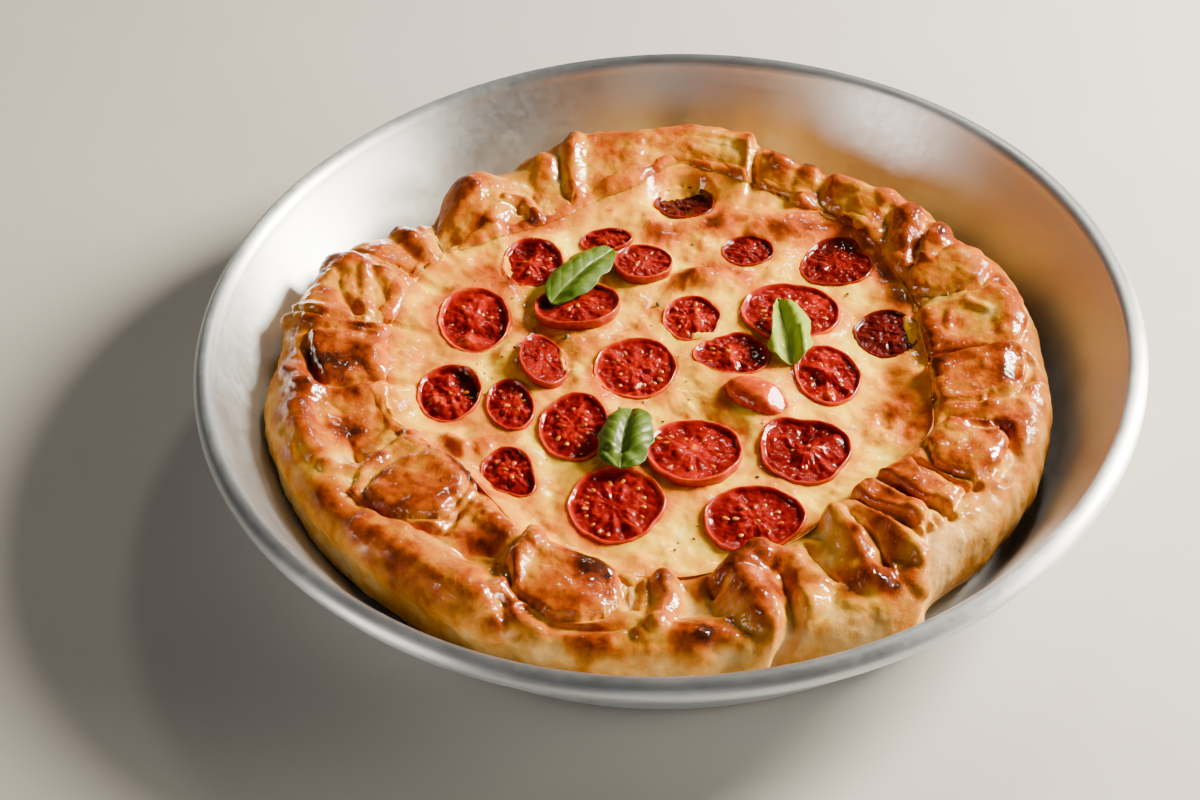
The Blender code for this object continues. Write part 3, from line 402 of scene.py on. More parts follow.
# Outlines of the less even tomatoes, as (degrees, radius) round their middles
TOMATO_EDGES = {
    10: ((0, 10.2), (40, 10.4), (75, 11.4), (120, 10.6), (165, 9.6), (210, 9.4), (250, 11), (280, 11),
         (315, 10.4), (340, 9.2)),
    12: ((0, 12.6), (35, 11.6), (65, 12.2), (100, 10), (150, 11.4), (185, 12.8), (215, 10.6), (250, 9.8),
         (290, 10.6), (330, 12.4)),
    13: ((0, 11.8), (30, 10.2), (62, 14.4), (95, 14.2), (115, 12.6), (150, 11.2), (190, 12.8), (220, 14.2),
         (260, 13), (300, 14.2), (330, 13.2)),
    21: ((0, 14), (30, 15.2), (62, 14.6), (90, 14), (122, 16.4), (150, 15.4), (180, 14.4), (206, 13.9),
         (236, 13.2), (270, 13.5), (298, 13.4), (332, 12)),
    22: ((0, 15.8), (30, 15.3), (60, 15.4), (90, 15.6), (120, 14.9), (150, 13.8), (180, 14.3), (205, 13.6),
         (240, 13.7), (270, 15.2), (300, 15.5), (330, 15.4)),
    23: ((0, 15.4), (40, 14), (80, 13.2), (120, 13.6), (160, 15), (190, 15.4), (225, 14.6), (260, 13),
         (290, 12.6), (330, 14)),
    24: ((0, 8), (45, 8.2), (95, 10), (130, 9.4), (180, 8.4), (230, 8.2), (270, 9.4), (303, 12.8),
         (330, 9.6)),
}
# Where a rim is orange: number, towards how many degrees from +X, how far round, amount
ORANGE_RIMS = (
    (22, 50, 75, 1.0), (9, 205, 75, 1.2), (5, 180, 80, 1.0), (6, 220, 60, 0.7), (17, 170, 60, 0.5),
    (12, 200, 50, 0.4), (4, 270, 60, 0.5), (10, 200, 70, 0.6),
)
# Lumps and hollows of the flesh: strokes whose third number is how much deeper the colour is. At (-39, 31) it
# is a painted shadow of the leaf on tomato 4, and at (12, 84) painted shade in tomato 15's cavity.
FLESH_AND_SHADE = (
    (4.6, 2.4, -0.55, -63, 16), (4, 1, -0.25, -66, 31, -63, 35), (3, -0.6, 0.2, -70, 24, -58, 20),
    (2.6, 1.8, -0.5, -76, -9, -72, -14), (3.6, 1.2, -0.2, -67, -13), (4, -1.2, 0.4, -66, -1, -62, -8),
    # (5, -0.6, 0.3, -39, 31) is a painted shadow of the leaf
    (5.5, -1, 0.5, -43, 62), (4, 1, -0.1, -45, 52, -38, 50), (5, -0.6, 0.3, -39, 31),
    (1.8, 0.6, -0.4, -23, 31), (2.4, 0.5, -0.45, 5.5, -42), (6.5, 1.2, -0.05, -2, -42),
    (6, -0.8, 0.2, 5, -33), (2.6, 1.8, -0.12, 38, -48, 49, -40), (4, -0.8, 0.2, 40, -38, 46, -36),
    (6, -0.4, 0.3, 26, -3), (2.2, 1, -0.3, 20, 4, 21, -3), (2.6, 1.8, -0.1, 46, -7, 51, -12),
    # (8, -1, 0.8, 12, 84) is painted shade in the cavity
    (2, 1.2, -0.1, 53, -12, 57, -18), (2.2, 1.2, -0.3, 50, -20), (8, -1, 0.8, 12, 84),
    (6, 0, 0.25, -20, -62), (2, 0.8, -0.15, 11, 24, 11, 15), (3, 0.8, -0.1, -40, 8, -34, 2),
    (3, 1, 0.7, -33, 13),
)
# Seeds seen in the cut faces: x and y of each, by the tomato's number
SEEDS = {
    22: (-28, -58, -28.5, -60.4, -29, -62.7, -28.5, -65.2, -27, -69, -25, -71.8, -22.5, -73.5, -26, -55.6,
     -21, -53.2, -17, -53.4, -13, -57, -11.5, -60.5, -11.5, -64, -12, -67.5, -14, -70.6),
    23: (19, -67.8, 22, -66.8, 25, -66.4, 28.5, -69, 16, -70.8, 22.4, -72.2, 29.5, -73, 13, -70, 17, -77,
     25, -76),
    21: (36, -43.4, 41, -42.4, 39, -50.5),
    20: (3.4, -37, -3, -39, 9, -38, 12, -42, 13, -44.6, -1, -35, -2.5, -50, 4, -51, 11, -50, -5, -36),
    19: (-36, -31.6, -33.5, -34.4, -36, -22.4, -28, -27.6, -27, -21.8, -31, -20, -29.5, -32.2, -34.5, -27,
     -30, -35.4, -26, -31),
    9: (-15.6, 2, -15.2, -4, -15.6, -8.6, -13.4, 6, -8, 6.2, -5, 5, -3, 1, -8, -9, -5, -8.6, -3, -7.6,
     -11, -11, -2.6, -4),
    11: (33, 25, 33.2, 22.6, 33.5, 20.2, 33, 17.6, 44.5, 26, 47.4, 25.4, 50, 23.2, 52, 20.4, 53, 17.6,
     50.5, 14.4),
    12: (20, 2.4, 17, 3, 23, 0.4, 13.5, -0.6, 15, 5.6),
    10: (4.6, 26.4, 11, 27.6, 11.4, 23.8, 6, 21.4, 7.4, 14.4, 12, 18.6, 5, 17.4),
    17: (51, -19.4, 53.4, -10, 49, -5.4, 46, -12, 54.4, -15),
    8: (-54, -8.6, -53, -12, -48, -11.6, -49, -18, -52, -16, -46.8, -13.6, -50.4, -7.4),
    24: (-55.6, -40, -53, -43.4, -50.4, -41.4, -51, -47, -48.6, -46.6),
    6: (-70, -8.6, -65.4, -7, -64, -9.4), 5: (-66, 32.6, -60, 29.6, -57.4, 28.4, -70, 26),
    4: (-31, 27, -28, 28.6, -20, 27), 3: (-2, 56, -4, 52, -7, 49, -8, 55),
    1: (-45, 55, -41, 55.6, -39, 51.6, -44, 49.6, -41, 46.6, -37, 56.4),
}
SEED_LENGTHS = (1.9, 2.7)
SEED_SUNK = 0.1
# How dark each tomato is roasted. For those at the back (3, 4 and 13 to 16) this is also painted shade.
ROAST_AND_SHADE = {2: 0.2, 3: 0.25, 4: 0.2, 7: 0.3, 12: 0.15, 13: 0.6, 14: 0.6, 15: 0.82, 16: 0.86, 21: 0.25, 23: 0.1}
# (share of the radius, height over the cut plane, colour depth), from below to the rim
SKIN_SECTION = (
    (0.55, -9.0, 0.3), (0.77, -7.8, 0.3), (0.89, -6.2, 0.32), (0.96, -4.4, 0.34), (0.992, -2.8, 0.34),
    (1.002, -1.5, 0.32), (1.004, -0.7, 0.27), (0.997, -0.18, 0.20), (0.982, 0.10, 0.17), (0.964, 0.12, 0.19),
)
# The same for the tomato that lies skin up, and which way it has a flattened side, from what share of the
# reach on, and how much of the rest is taken off
SKIN_UP_SECTION = (
    (0.80, -4.6, 0.3), (0.95, -3.4, 0.3), (1.00, -2.0, 0.3), (1.00, -0.8, 0.26), (0.97, 0.4, 0.22),
    (0.91, 1.5, 0.18), (0.82, 2.5, 0.15), (0.70, 3.3, 0.13), (0.56, 3.9, 0.12), (0.40, 4.3, 0.12),
    (0.22, 4.55, 0.13), (0.08, 4.6, 0.13),
)
FLAT_TOWARD = (0.53, -0.30, 0.79)
FLAT_FROM = 0.74
FLAT_CUT = 0.85
FACE_SHARES = (0.95, 0.04)  # of the radius, where the cut face starts and ends
FLESH_EDGE = (0.82, 0.94)  # where the lumps of the flesh fade out
FACE_APART = 40.0  # keeps the unevenness of one cut face apart from the next one's

# Leaves: half widths on the left and right of the midrib along it, as (share of the length, left, right)
LEAF_EDGES = (
    ((0, 0.5, 0.5), (0.04, 3.2, 3.6), (0.15, 6.4, 6.4), (0.35, 8.4, 7.6), (0.55, 8.6, 7.4), (0.75, 7.4, 6.4),
     (0.9, 4.8, 4.2), (0.97, 2.6, 2.2), (1, 0.3, 0.3)),
    ((0, 0.8, 0.8), (0.06, 4.2, 4.0), (0.16, 6.4, 6.2), (0.30, 6.8, 7.2), (0.45, 5.0, 7.8), (0.60, 3.8, 8.4),
     (0.74, 3.2, 7.0), (0.90, 2.0, 3.0), (1, 0.2, 0.2)),
    ((0, 1.0, 1.0), (0.05, 4.6, 4.6), (0.15, 7.2, 7.0), (0.35, 8.4, 8.2), (0.60, 8.0, 8.4), (0.80, 6.4, 6.8),
     (0.93, 3.4, 4.0), (1, 0.4, 0.4)),
)
LEAF_FOLD_FALL = 1.4
# Folds of each leaf: strokes along (share of the length, millimetres right of the midrib)
LEAF_FOLDS = (
    ((2.6, -1, 0, 0.5, 0.5, 0.8, 1, 0), (3.6, 1, 0.1, -4.5, 0.7, -4.5), (3.2, 0.9, 0.2, 4.4, 0.75, 3.6),
     (2, -0.7, 0.02, 2, 0.14, 4),),
    ((3.4, -2.2, 0, -1, 0.5, -1.2, 0.9, 0), (2.6, 1.4, 0.05, -5.6, 0.5, -5, 0.8, -3.4),
     (2.4, 2.2, 0.1, 4, 0.42, 5), (1.6, -0.8, 0.16, 1.4, 0.4, 2.4), (3.4, 1.6, 0.56, 5.4, 0.85, 3),),
    ((1.9, -1.3, 0.2, -0.8, 0.65, -0.6, 1, 0), (3, 1.1, 0.3, -4.6, 0.75, -3.8),
     (2, 0.9, 0.1, 3.4, 0.18, 0.4, 0.26, -3.6), (1.6, 0.7, 0.05, -3, 0.14, -5.6),
     (1.2, -0.6, 0.24, 0.6, 0.22, -5), (3.6, 1.2, 0.34, 4.2, 0.8, 3.6),),
)

# Dried herb: places seen in the cheese as (x, y, size), and scattered ones
HERB_DRAWS = 5
HERB_COUNT = 90
HERB_SPREAD = 84.0
HERB_SIZES = (0.6, 1.5)
HERB_CLEAR = 0.8  # of the tomatoes
HERB_LIFT = 0.12
HERB_PLACES = (
    (-1, 28.5, 2.4), (-32, 14.5, 2.6), (-39, -10.5, 2.0), (-49, 11, 1.4), (-72, 46, 1.3), (24, -54, 1.6),
    (-3, -81, 1.5), (3, -77, 1.2), (6, -17, 1.3), (-3, -25, 1.2), (-64, 60, 1.4), (12, 10, 1.2),
    (62, 28, 1.8),
)

# Stage, light and camera
FLOOR_HALF = 4000.0
WORLD_COLOUR = (0.95, 0.97, 1.0)
WORLD_STRENGTH = 0.05
# name, azimuth from +X towards +Y, elevation, distance and size in metres, watts, colour
LIGHTS = (
    ("key", 20.0, 29.0, 1.0, 0.38, 64.0, (1.0, 0.88, 0.70)),
    ("low", -12.0, 16.0, 1.7, 0.70, 20.0, (1.0, 0.90, 0.75)),
    ("back", 70.0, 40.0, 1.8, 0.22, 5.0, (1.0, 0.90, 0.74)),
    ("side", 207.0, 15.0, 1.7, 0.80, 12.0, (1.0, 0.88, 0.75)),
    ("front", 266.0, 17.0, 2.0, 0.9, 1.8, (1.0, 0.94, 0.88)),
)
CAMERA_AT = (-22.43, -511.98, 494.71)
CAMERA_PITCH = 43.43  # degrees below the horizon
CAMERA_ROLL = -3.469
CAMERA_LENS = 64.53
SENSOR_WIDTH = 36.0
CAMERA_CLIP = (0.01, 20.0)


# ---------------------------------------------------------------- the CAD model's rules


def around(table, degrees):
    """A smooth closed curve through (degrees, value) pairs, read at an array of angles."""
    at = np.array([row[0] for row in table], float)
    value = np.array([row[1] for row in table], float)
    at = np.concatenate((at[-2:] - 360, at, at[:2] + 360))
    value = np.concatenate((value[-2:], value, value[:2]))
    slope = np.gradient(value, at)
    degrees = np.mod(degrees - at[1], 360) + at[1]
    k = np.clip(np.searchsorted(at, degrees, side="right") - 1, 0, len(at) - 2)
    span = at[k + 1] - at[k]
    u = (degrees - at[k]) / span
    return (
        value[k] * (1 + 2 * u) * (1 - u) ** 2
        + slope[k] * span * u * (1 - u) ** 2
        + value[k + 1] * u**2 * (3 - 2 * u)
        + slope[k + 1] * span * u**2 * (u - 1)
    )


def near_line(x, y, points):
    """Distance to a line, the side it is on (+1 left), and how far past its ends.

    The line's points are given as pairs, or as x and y in turn.
    """
    points = np.array(points, float).reshape(-1, 2)
    if len(points) == 1:
        return np.hypot(x - points[0, 0], y - points[0, 1]), np.ones_like(x), np.zeros_like(x)
    nearest = np.full(np.shape(x), np.inf)
    side = np.ones_like(nearest)
    beyond = np.zeros_like(nearest)
    last = len(points) - 2
    for k, (start, end) in enumerate(zip(points, points[1:])):
        run = end - start
        length = np.hypot(*run)
        ahead = ((x - start[0]) * run[0] + (y - start[1]) * run[1]) / length
        across = ((y - start[1]) * run[0] - (x - start[0]) * run[1]) / length
        past = np.maximum(ahead - length, 0) + np.maximum(-ahead, 0)
        away = np.hypot(across, past)
        closer = away < nearest
        nearest = np.where(closer, away, nearest)
        side = np.where(closer, np.sign(across), side)
        at_an_end = ((ahead > length) & (k == last)) | ((ahead < 0) & (k == 0))
        beyond = np.where(closer, np.where(at_an_end, past, 0.0), beyond)
    return nearest, side, beyond


def with_strokes(total, x, y, table):
    """Adds rounded ridges along their lines, or valleys where the height is negative."""
    for half_width, height, *line in table:
        nearest = near_line(x, y, line)[0]
        total = total + height * np.clip(1 - (nearest / half_width) ** 2, 0, 1) ** 1.5
    return total


def panel(x, y, height, edge, corners):
    """A pillow with a round edge inside an outline and a narrow crease outside it, or a soft pocket."""
    corners = list(zip(corners[::2], corners[1::2]))
    inside = np.zeros(np.shape(x), bool)
    for (ax, ay), (bx, by) in zip(corners, corners[1:] + corners[:1]):
        if ay != by:
            inside ^= ((ay > y) != (by > y)) & (x < (bx - ax) * (y - ay) / (by - ay) + ax)
    away = near_line(x, y, corners + corners[:1])[0]
    part_in = np.clip(away / edge, 0, 1) * inside
    if height < 0:
        return height * part_in**2 * (3 - 2 * part_in)
    crease = PANEL_CREASE_DEPTH * np.exp(-((away / PANEL_CREASE) ** 2)) * ~inside
    return height * (np.sqrt(1 - (1 - part_in) ** 2) - crease)


def lap(x, y, step, run, line):
    """A layer of dough that ends on a line: a rounded edge, a slope back behind it and a crease before it."""
    nearest, side, beyond = near_line(x, y, line)
    ahead = nearest * side * np.sign(step)
    rise = np.sqrt(np.clip(ahead / LAP_ROUNDING, 0, 1))
    fall = np.clip(1 - ahead / run, 0, 1)
    crease = LAP_CREASE_DEPTH * np.exp(-(((ahead + LAP_CREASE_AT) / LAP_CREASE) ** 2))
    crease = crease * (ahead < LAP_CREASE_AT)
    fade = np.clip(1 - beyond / LAP_FADE, 0, 1)
    return abs(step) * fade * (rise * fall - crease)


def lumps(x, y, size, seed):
    """Smooth random bumps of about unit height, their middles a given size apart."""
    lattice = np.random.default_rng(seed).uniform(-1, 1, (LUMP_CELLS, LUMP_CELLS))
    u, v = x / size + LUMP_CELLS / 2, y / size + LUMP_CELLS / 2
    i, j = np.floor(u).astype(int), np.floor(v).astype(int)
    u, v = u - i, v - j
    u, v = u * u * (3 - 2 * u), v * v * (3 - 2 * v)
    near = lattice[i, j] * (1 - u) + lattice[i + 1, j] * u
    far = lattice[i, j + 1] * (1 - u) + lattice[i + 1, j + 1] * u
    return near * (1 - v) + far * v


def relief(x, y):
    total = sum(height * lumps(x, y, size, LUMP_SEED + k) for k, (size, height) in enumerate(LUMPS))
    total = with_strokes(total, x, y, PLEATS)
    for height, edge, *corners in PANELS:
        total += panel(x, y, height, edge, corners)
    for step, run, *line in LAPS:
        total += lap(x, y, step, run, line)
    return total


def pan_inner_radius(z):
    return PAN_WALL_FOOT + PAN_WALL_LEAN * z


def pan_profile():
    """Half the pan's section as (radius, height): up the inner face, over the rim, down the outer face."""
    lean = math.atan(PAN_WALL_LEAN)  # from the vertical
    turn = math.pi / 2 - lean
    tangent = pan_inner_radius(PAN_SHEET) - PAN_FLOOR_RADIUS
    fillet = tangent / math.tan(turn / 2)

    def foot(radius, lift, halves):
        angles = [turn * k / 2 for k in halves]
        return [(PAN_FLOOR_RADIUS + radius * math.sin(a), lift + radius * (1 - math.cos(a))) for a in angles]

    bead_start = pan_inner_radius(PAN_BEAD_FROM), PAN_BEAD_FROM
    points = [(PAN_FLOOR_RADIUS, PAN_SHEET), *foot(fillet, PAN_SHEET, (1, 2)), bead_start]
    for degrees in (172, 140, 105, 70, 30, -10, -55, -100):
        c, s = math.cos(math.radians(degrees)), math.sin(math.radians(degrees))
        size = abs(c) ** PAN_BEAD_POWER + abs(s) ** PAN_BEAD_POWER
        reach = PAN_BEAD_RADIUS * size ** (-1 / PAN_BEAD_POWER)
        across = min(PAN_RADIUS - PAN_BEAD_RADIUS + reach * c, PAN_RADIUS)
        points.append((across, PAN_HEIGHT - PAN_BEAD_RADIUS + reach * s))
    points.append((pan_inner_radius(PAN_BEAD_TO) + PAN_SHEET / math.cos(lean), PAN_BEAD_TO))
    return [*points, *foot(fillet + PAN_SHEET, 0.0, (2, 1)), (PAN_FLOOR_RADIUS, 0.0)]


def pastry_sections(degrees):
    """The dough's section at each angle, from its underside over the roll and down into the middle.

    Each row is a ring of (radius, height, share of the relief that it takes).
    """
    outer = around(OUTER_EDGE, degrees)
    inner = around(INNER_EDGE, degrees)
    crest = around(CREST_HEIGHT, degrees)
    lip = around(LIP_HEIGHT, degrees)
    crest_r = outer - np.minimum(ROLL_INSET, 0.45 * (outer - inner))
    shoulder = outer - 0.37 * (outer - crest_r)
    flat = np.zeros_like(outer)
    rows = [
        (outer - 14, PASTRY_BOTTOM + flat, 0.0),
        (outer - 6, PASTRY_BOTTOM + 1.5 + flat, 0.0),
        (outer - 1.6, PASTRY_BOTTOM + 7 + flat, 0.3),
        (outer, ROLL_WIDEST_HEIGHT + flat, 0.7),
        (outer - 1.4, 0.42 * ROLL_WIDEST_HEIGHT + 0.58 * crest, 1.0),
        (shoulder, 0.16 * ROLL_WIDEST_HEIGHT + 0.84 * crest, 1.0),
        (0.5 * (shoulder + crest_r), crest - 0.6, 1.0),
        (crest_r, crest, 1.0),
    ]
    for share in (0.18, 0.36, 0.54, 0.72, 0.88):
        sag = BORDER_SAG * math.sin(math.pi * share)
        rows.append((crest_r - (crest_r - inner) * share, crest + (lip - crest) * share - sag, 1.0))
    rows.append((inner + 0.6, lip - 1.4, 0.7))
    rows.append((inner, lip - INNER_LIP_DROP, 0.0))
    rows.append((inner - 0.3, PASTRY_BASE_TOP + flat, 0.0))
    return np.array([np.stack((r, z, share + flat)) for r, z, share in rows])


def from_pie(radius, turn):
    """x and y of places round the pie's own centre."""
    return PIE_CENTRE[0] + radius * np.cos(turn), PIE_CENTRE[1] + radius * np.sin(turn)


def pastry_rings(degrees, rows, crest_row):
    """Rings of points with the pleats raised along the section's outward direction."""
    turn = np.radians(degrees)
    radius, height, share = rows[:, 0], rows[:, 1], rows[:, 2]
    step = np.hypot(np.diff(radius, axis=0), np.diff(height, axis=0))
    along = np.concatenate((np.zeros((1, len(degrees))), np.cumsum(step, axis=0)))
    outside = np.arange(len(rows))[:, None] < crest_row
    reach = np.where(outside, radius[crest_row] + along[crest_row] - along, radius)
    tangent_r = np.gradient(radius, axis=0)
    tangent_z = np.gradient(height, axis=0)
    size = np.hypot(tangent_r, tangent_z)
    bump = share * relief(*from_pie(reach, turn))
    radius = radius + bump * tangent_z / size
    height = height - bump * tangent_r / size
    return within_pan(*from_pie(radius, turn), height)


def within_pan(x, y, z):
    """Draws points in so that they stay clear of the pan's inner wall."""
    away = np.hypot(x, y)
    limit = pan_inner_radius(z) - WALL_CLEARANCE
    low = np.minimum(PAN_FLOOR_RADIUS + 1.1 * z, limit)
    draw = np.minimum(1, np.minimum(limit, low) / away)
    return np.stack((x * draw, y * draw, z), axis=-1)


def filling_height(x, y):
    level = FILLING_LEVEL + FILLING_UNEVENNESS * lumps(x, y, FILLING_LUMPS, LUMP_SEED + 5)
    return with_strokes(level, x, y, FILLING_SWELLS)


# ---------------------------------------------------------------- noise and mesh tools


def xyz(x, y, z):
    """Points of three grids of coordinates; a plain number stands for a grid of it."""
    return np.stack(np.broadcast_arrays(x, y, z), axis=-1)


def round_turns(count):
    return np.arange(count) * 2 * math.pi / count


def degrees_off(degrees, towards):
    return np.abs(np.mod(degrees - towards + 180, 360) - 180)


def value_noise(points, size, seed):
    """Smooth random values from -1 to 1 over points in space, with a grain of a given size."""
    lattice = np.random.default_rng(seed).uniform(-1, 1, (NOISE_CELLS,) * 3)
    scaled = np.asarray(points) / size
    cell = np.floor(scaled).astype(int)
    u = scaled - cell
    u = u * u * (3 - 2 * u)
    total = np.zeros(scaled.shape[:-1])
    for corner in np.ndindex(2, 2, 2):
        weight = np.ones_like(total)
        for axis in range(3):
            weight = weight * (u[..., axis] if corner[axis] else 1 - u[..., axis])
        at = (cell + corner) % NOISE_CELLS
        total += weight * lattice[at[..., 0], at[..., 1], at[..., 2]]
    return total


def fractal(points, size, seed, octaves=3, gain=0.5):
    """Noise of several grains on top of each other, from -1 to 1."""
    layers = range(octaves)
    total = sum(gain**k * value_noise(points, size / 2**k, seed + 31 * k) for k in layers)
    return total / sum(gain**k for k in layers)


def with_noise(total, points, table):
    """Adds the layers in a table of unevenness."""
    for height, size, seed, octaves in table:
        total = total + height * fractal(points, size, seed, octaves)
    return total


def bubbles(points, spacing, seed, share):
    """Heights from 0 to 1 of round blisters of uneven size, one at most in each cell of a cubic grid."""
    rng = np.random.default_rng(seed)
    offsets = rng.uniform(0.2, 0.8, (NOISE_CELLS,) * 3 + (3,))
    sizes = rng.uniform(0.16, 0.5, (NOISE_CELLS,) * 3) * (rng.random((NOISE_CELLS,) * 3) < share)
    scaled = np.asarray(points) / spacing
    cell = np.floor(scaled).astype(int)
    total = np.zeros(scaled.shape[:-1])
    for shift in np.ndindex(3, 3, 3):
        there = cell + shift - 1
        at = there % NOISE_CELLS
        index = (at[..., 0], at[..., 1], at[..., 2])
        away = np.linalg.norm(scaled - there - offsets[index], axis=-1)
        size = np.maximum(sizes[index], 1e-6)
        total = np.maximum(total, np.sqrt(np.clip(1 - (away / size) ** 2, 0, 1)) * sizes[index] * 2)
    return total


def smooth_step(value, low, high):
    t = np.clip((value - low) / (high - low), 0, 1)
    return t * t * (3 - 2 * t)


def soft_spot(x, y, line, half_width, fall=SPOT_FALL):
    """A stroke that is 1 along its line and fades out to its sides."""
    return np.exp(-((near_line(x, y, line)[0] / half_width) ** 2) * fall)


def spots(x, y, table):
    """Sum of soft strokes."""
    total = np.zeros_like(x)
    for half_width, amount, *line in table:
        total += amount * soft_spot(x, y, line, half_width)
    return total


def grid_normals(grid):
    """Unit normals of a grid of points whose second axis runs round."""
    across = np.roll(grid, -1, axis=1) - np.roll(grid, 1, axis=1)
    normal = np.cross(across, np.gradient(grid, axis=0))
    return normal / np.maximum(np.linalg.norm(normal, axis=-1, keepdims=True), 1e-9)


def grid_faces(rows, columns, closed=True):
    faces = []
    for i in range(0, (rows - 1) * columns, columns):
        for j in range(columns if closed else columns - 1):
            k = (j + 1) % columns
            faces.append((i + j, i + k, i + columns + k, i + columns + j))
    return faces


def add_mesh(name, points, faces, finish, replaced=(), values=None):
    """A smooth-shaded piece from points in millimetres, with named values for its material at each point."""
    mesh = bpy.data.meshes.new(name)
    mesh.from_pydata((np.asarray(points) * MM).tolist(), [], faces)
    for key, value in (values or {}).items():
        held = mesh.attributes.new(key, "FLOAT", "POINT").data
        held.foreach_set("value", np.asarray(value, np.float32).ravel())
    mesh.shade_smooth()
    mesh.materials.append(finish)
    made = bpy.data.objects.new(name, mesh)
    bpy.context.scene.collection.objects.link(made)
    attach(made, BODY)
    if replaced:
        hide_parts(*replaced)
    return made


def closed_body(grid, first_middle, last_middle):
    """Points and faces of a grid of rings, each end filled from a middle point."""
    rows, columns = grid.shape[:2]
    points = np.concatenate((grid.reshape(-1, 3), [first_middle, last_middle]))
    faces = grid_faces(rows, columns)
    first, last_ring = rows * columns, (rows - 1) * columns
    for j in range(columns):
        k = (j + 1) % columns
        faces += [(first, k, j), (first + 1, last_ring + j, last_ring + k)]
    return points, faces


def with_ends(value, first=0.0, last=0.0):
    """A grid's values with those of the two middle points after them."""
    return np.concatenate((np.asarray(value).ravel(), [first, last]))


def refine(rows, steps):
    """More rows between the given ones, on smooth curves through them."""
    count = len(rows)
    at = np.arange((count - 1) * steps + 1) / steps
    k = np.clip(at.astype(int), 0, count - 2)
    u = (at - k)[:, None, None]
    before, here = rows[np.maximum(k - 1, 0)], rows[k]
    there, after = rows[k + 1], rows[np.minimum(k + 2, count - 1)]
    return 0.5 * (
        2 * here
        + (there - before) * u
        + (2 * before - 5 * here + 4 * there - after) * u**2
        + (3 * here - before - 3 * there + after) * u**3
    )


# ---------------------------------------------------------------- material tools


class Finish:
    """A material whose nodes are added one by one; an input is a value or another node's output."""

    def __init__(self, name):
        self.material = bpy.data.materials.new(name)
        self.material.use_nodes = True
        self.tree = self.material.node_tree
        self.shader = self.tree.nodes["Principled BSDF"]

    def fill(self, node, inputs):
        for key, value in inputs.items():
            if isinstance(value, bpy.types.NodeSocket):
                self.tree.links.new(value, node.inputs[key])
            else:
                node.inputs[key].default_value = value

    def add(self, kind, inputs=None, **settings):
        node = self.tree.nodes.new(kind)
        for key, value in settings.items():
            setattr(node, key, value)
        self.fill(node, inputs or {})
        return node

    def value(self, name):
        return self.add("ShaderNodeAttribute", attribute_name=name).outputs["Fac"]

    def place(self):
        return self.add("ShaderNodeTexCoord").outputs["Object"]

    def noise(self, grain, detail=3.0, roughness=0.55, distortion=0.0, vector=None):
        """Noise whose grain is a size in millimetres."""
        inputs = {
            "Vector": vector or self.place(),
            "Scale": 1 / (grain * MM),
            "Detail": detail,
            "Roughness": roughness,
            "Distortion": distortion,
        }
        return self.add("ShaderNodeTexNoise", inputs).outputs["Fac"]

    def cells(self, grain):
        """Round bumps side by side, about a grain apart in millimetres."""
        inputs = {"Vector": self.place(), "Scale": 1 / (grain * MM), "Smoothness": 0.4}
        near = self.add("ShaderNodeTexVoronoi", inputs, feature="SMOOTH_F1").outputs["Distance"]
        return self.ranged(near, 0.0, 0.7, 1.0, 0.0)

    def math(self, operation, first, second=0.0, third=0.0):
        node = self.add("ShaderNodeMath", {0: first, 1: second, 2: third}, operation=operation)
        return node.outputs["Value"]

    def sway(self, value, noise, amount):
        """A value that goes up and down with noise."""
        return self.math("MULTIPLY_ADD", self.math("SUBTRACT", noise, 0.5), amount, value)

    def ranged(self, value, low, high, to_low=0.0, to_high=1.0):
        inputs = {"Value": value, "From Min": low, "From Max": high, "To Min": to_low, "To Max": to_high}
        return self.add("ShaderNodeMapRange", inputs).outputs["Result"]

    def ramp(self, factor, stops):
        node = self.add("ShaderNodeValToRGB", {"Fac": factor})
        elements = node.color_ramp.elements
        while len(elements) < len(stops):
            elements.new(1.0)
        for element, (position, colour) in zip(elements, stops):
            element.position = position
            element.color = (*colour, 1.0)
        return node.outputs["Color"]

    def mix(self, factor, first, second):
        node = self.add("ShaderNodeMix", data_type="RGBA")
        first = first if isinstance(first, bpy.types.NodeSocket) else (*first, 1.0)
        second = second if isinstance(second, bpy.types.NodeSocket) else (*second, 1.0)
        self.fill(node, {0: factor, 6: first, 7: second})
        return node.outputs[2]

    def bump(self, height, millimetres, before=None):
        linked = isinstance(millimetres, bpy.types.NodeSocket)
        distance = self.math("MULTIPLY", millimetres, MM) if linked else millimetres * MM
        inputs = {"Height": height, "Distance": distance, "Strength": 1.0}
        if before:
            inputs["Normal"] = before
        return self.add("ShaderNodeBump", inputs).outputs["Normal"]

    def surface(self, **inputs):
        if "Coat_Weight" in inputs:
            inputs.setdefault("Coat_Normal", inputs["Normal"])
        self.fill(self.shader, {key.replace("_", " "): value for key, value in inputs.items()})
        return self.material


# ---------------------------------------------------------------- finishes

CRUST_COLOURS = (
    (0.00, (0.66, 0.41, 0.110)),
    (0.16, (0.61, 0.315, 0.022)),
    (0.32, (0.53, 0.210, 0.002)),
    (0.48, (0.44, 0.122, 0.0008)),
    (0.64, (0.32, 0.058, 0.0005)),
    (0.80, (0.18, 0.024, 0.0005)),
    (1.00, (0.03, 0.006, 0.002)),
)
WALL_COLOURS = (
    (0.00, (0.62, 0.39, 0.150)),
    (0.25, (0.54, 0.275, 0.060)),
    (0.50, (0.42, 0.147, 0.010)),
    (0.75, (0.25, 0.065, 0.002)),
    (1.00, (0.07, 0.018, 0.002)),
)
CHEESE_COLOURS = (
    (0.00, (1.00, 0.72, 0.090)),
    (0.18, (0.95, 0.57, 0.008)),
    (0.36, (0.80, 0.350, 0.0008)),
    (0.52, (0.60, 0.175, 0.0005)),
    (0.70, (0.38, 0.066, 0.0005)),
    (0.86, (0.18, 0.023, 0.0005)),
    (1.00, (0.05, 0.010, 0.001)),
)
STAIN_COLOUR = (0.66, 0.105, 0.003)
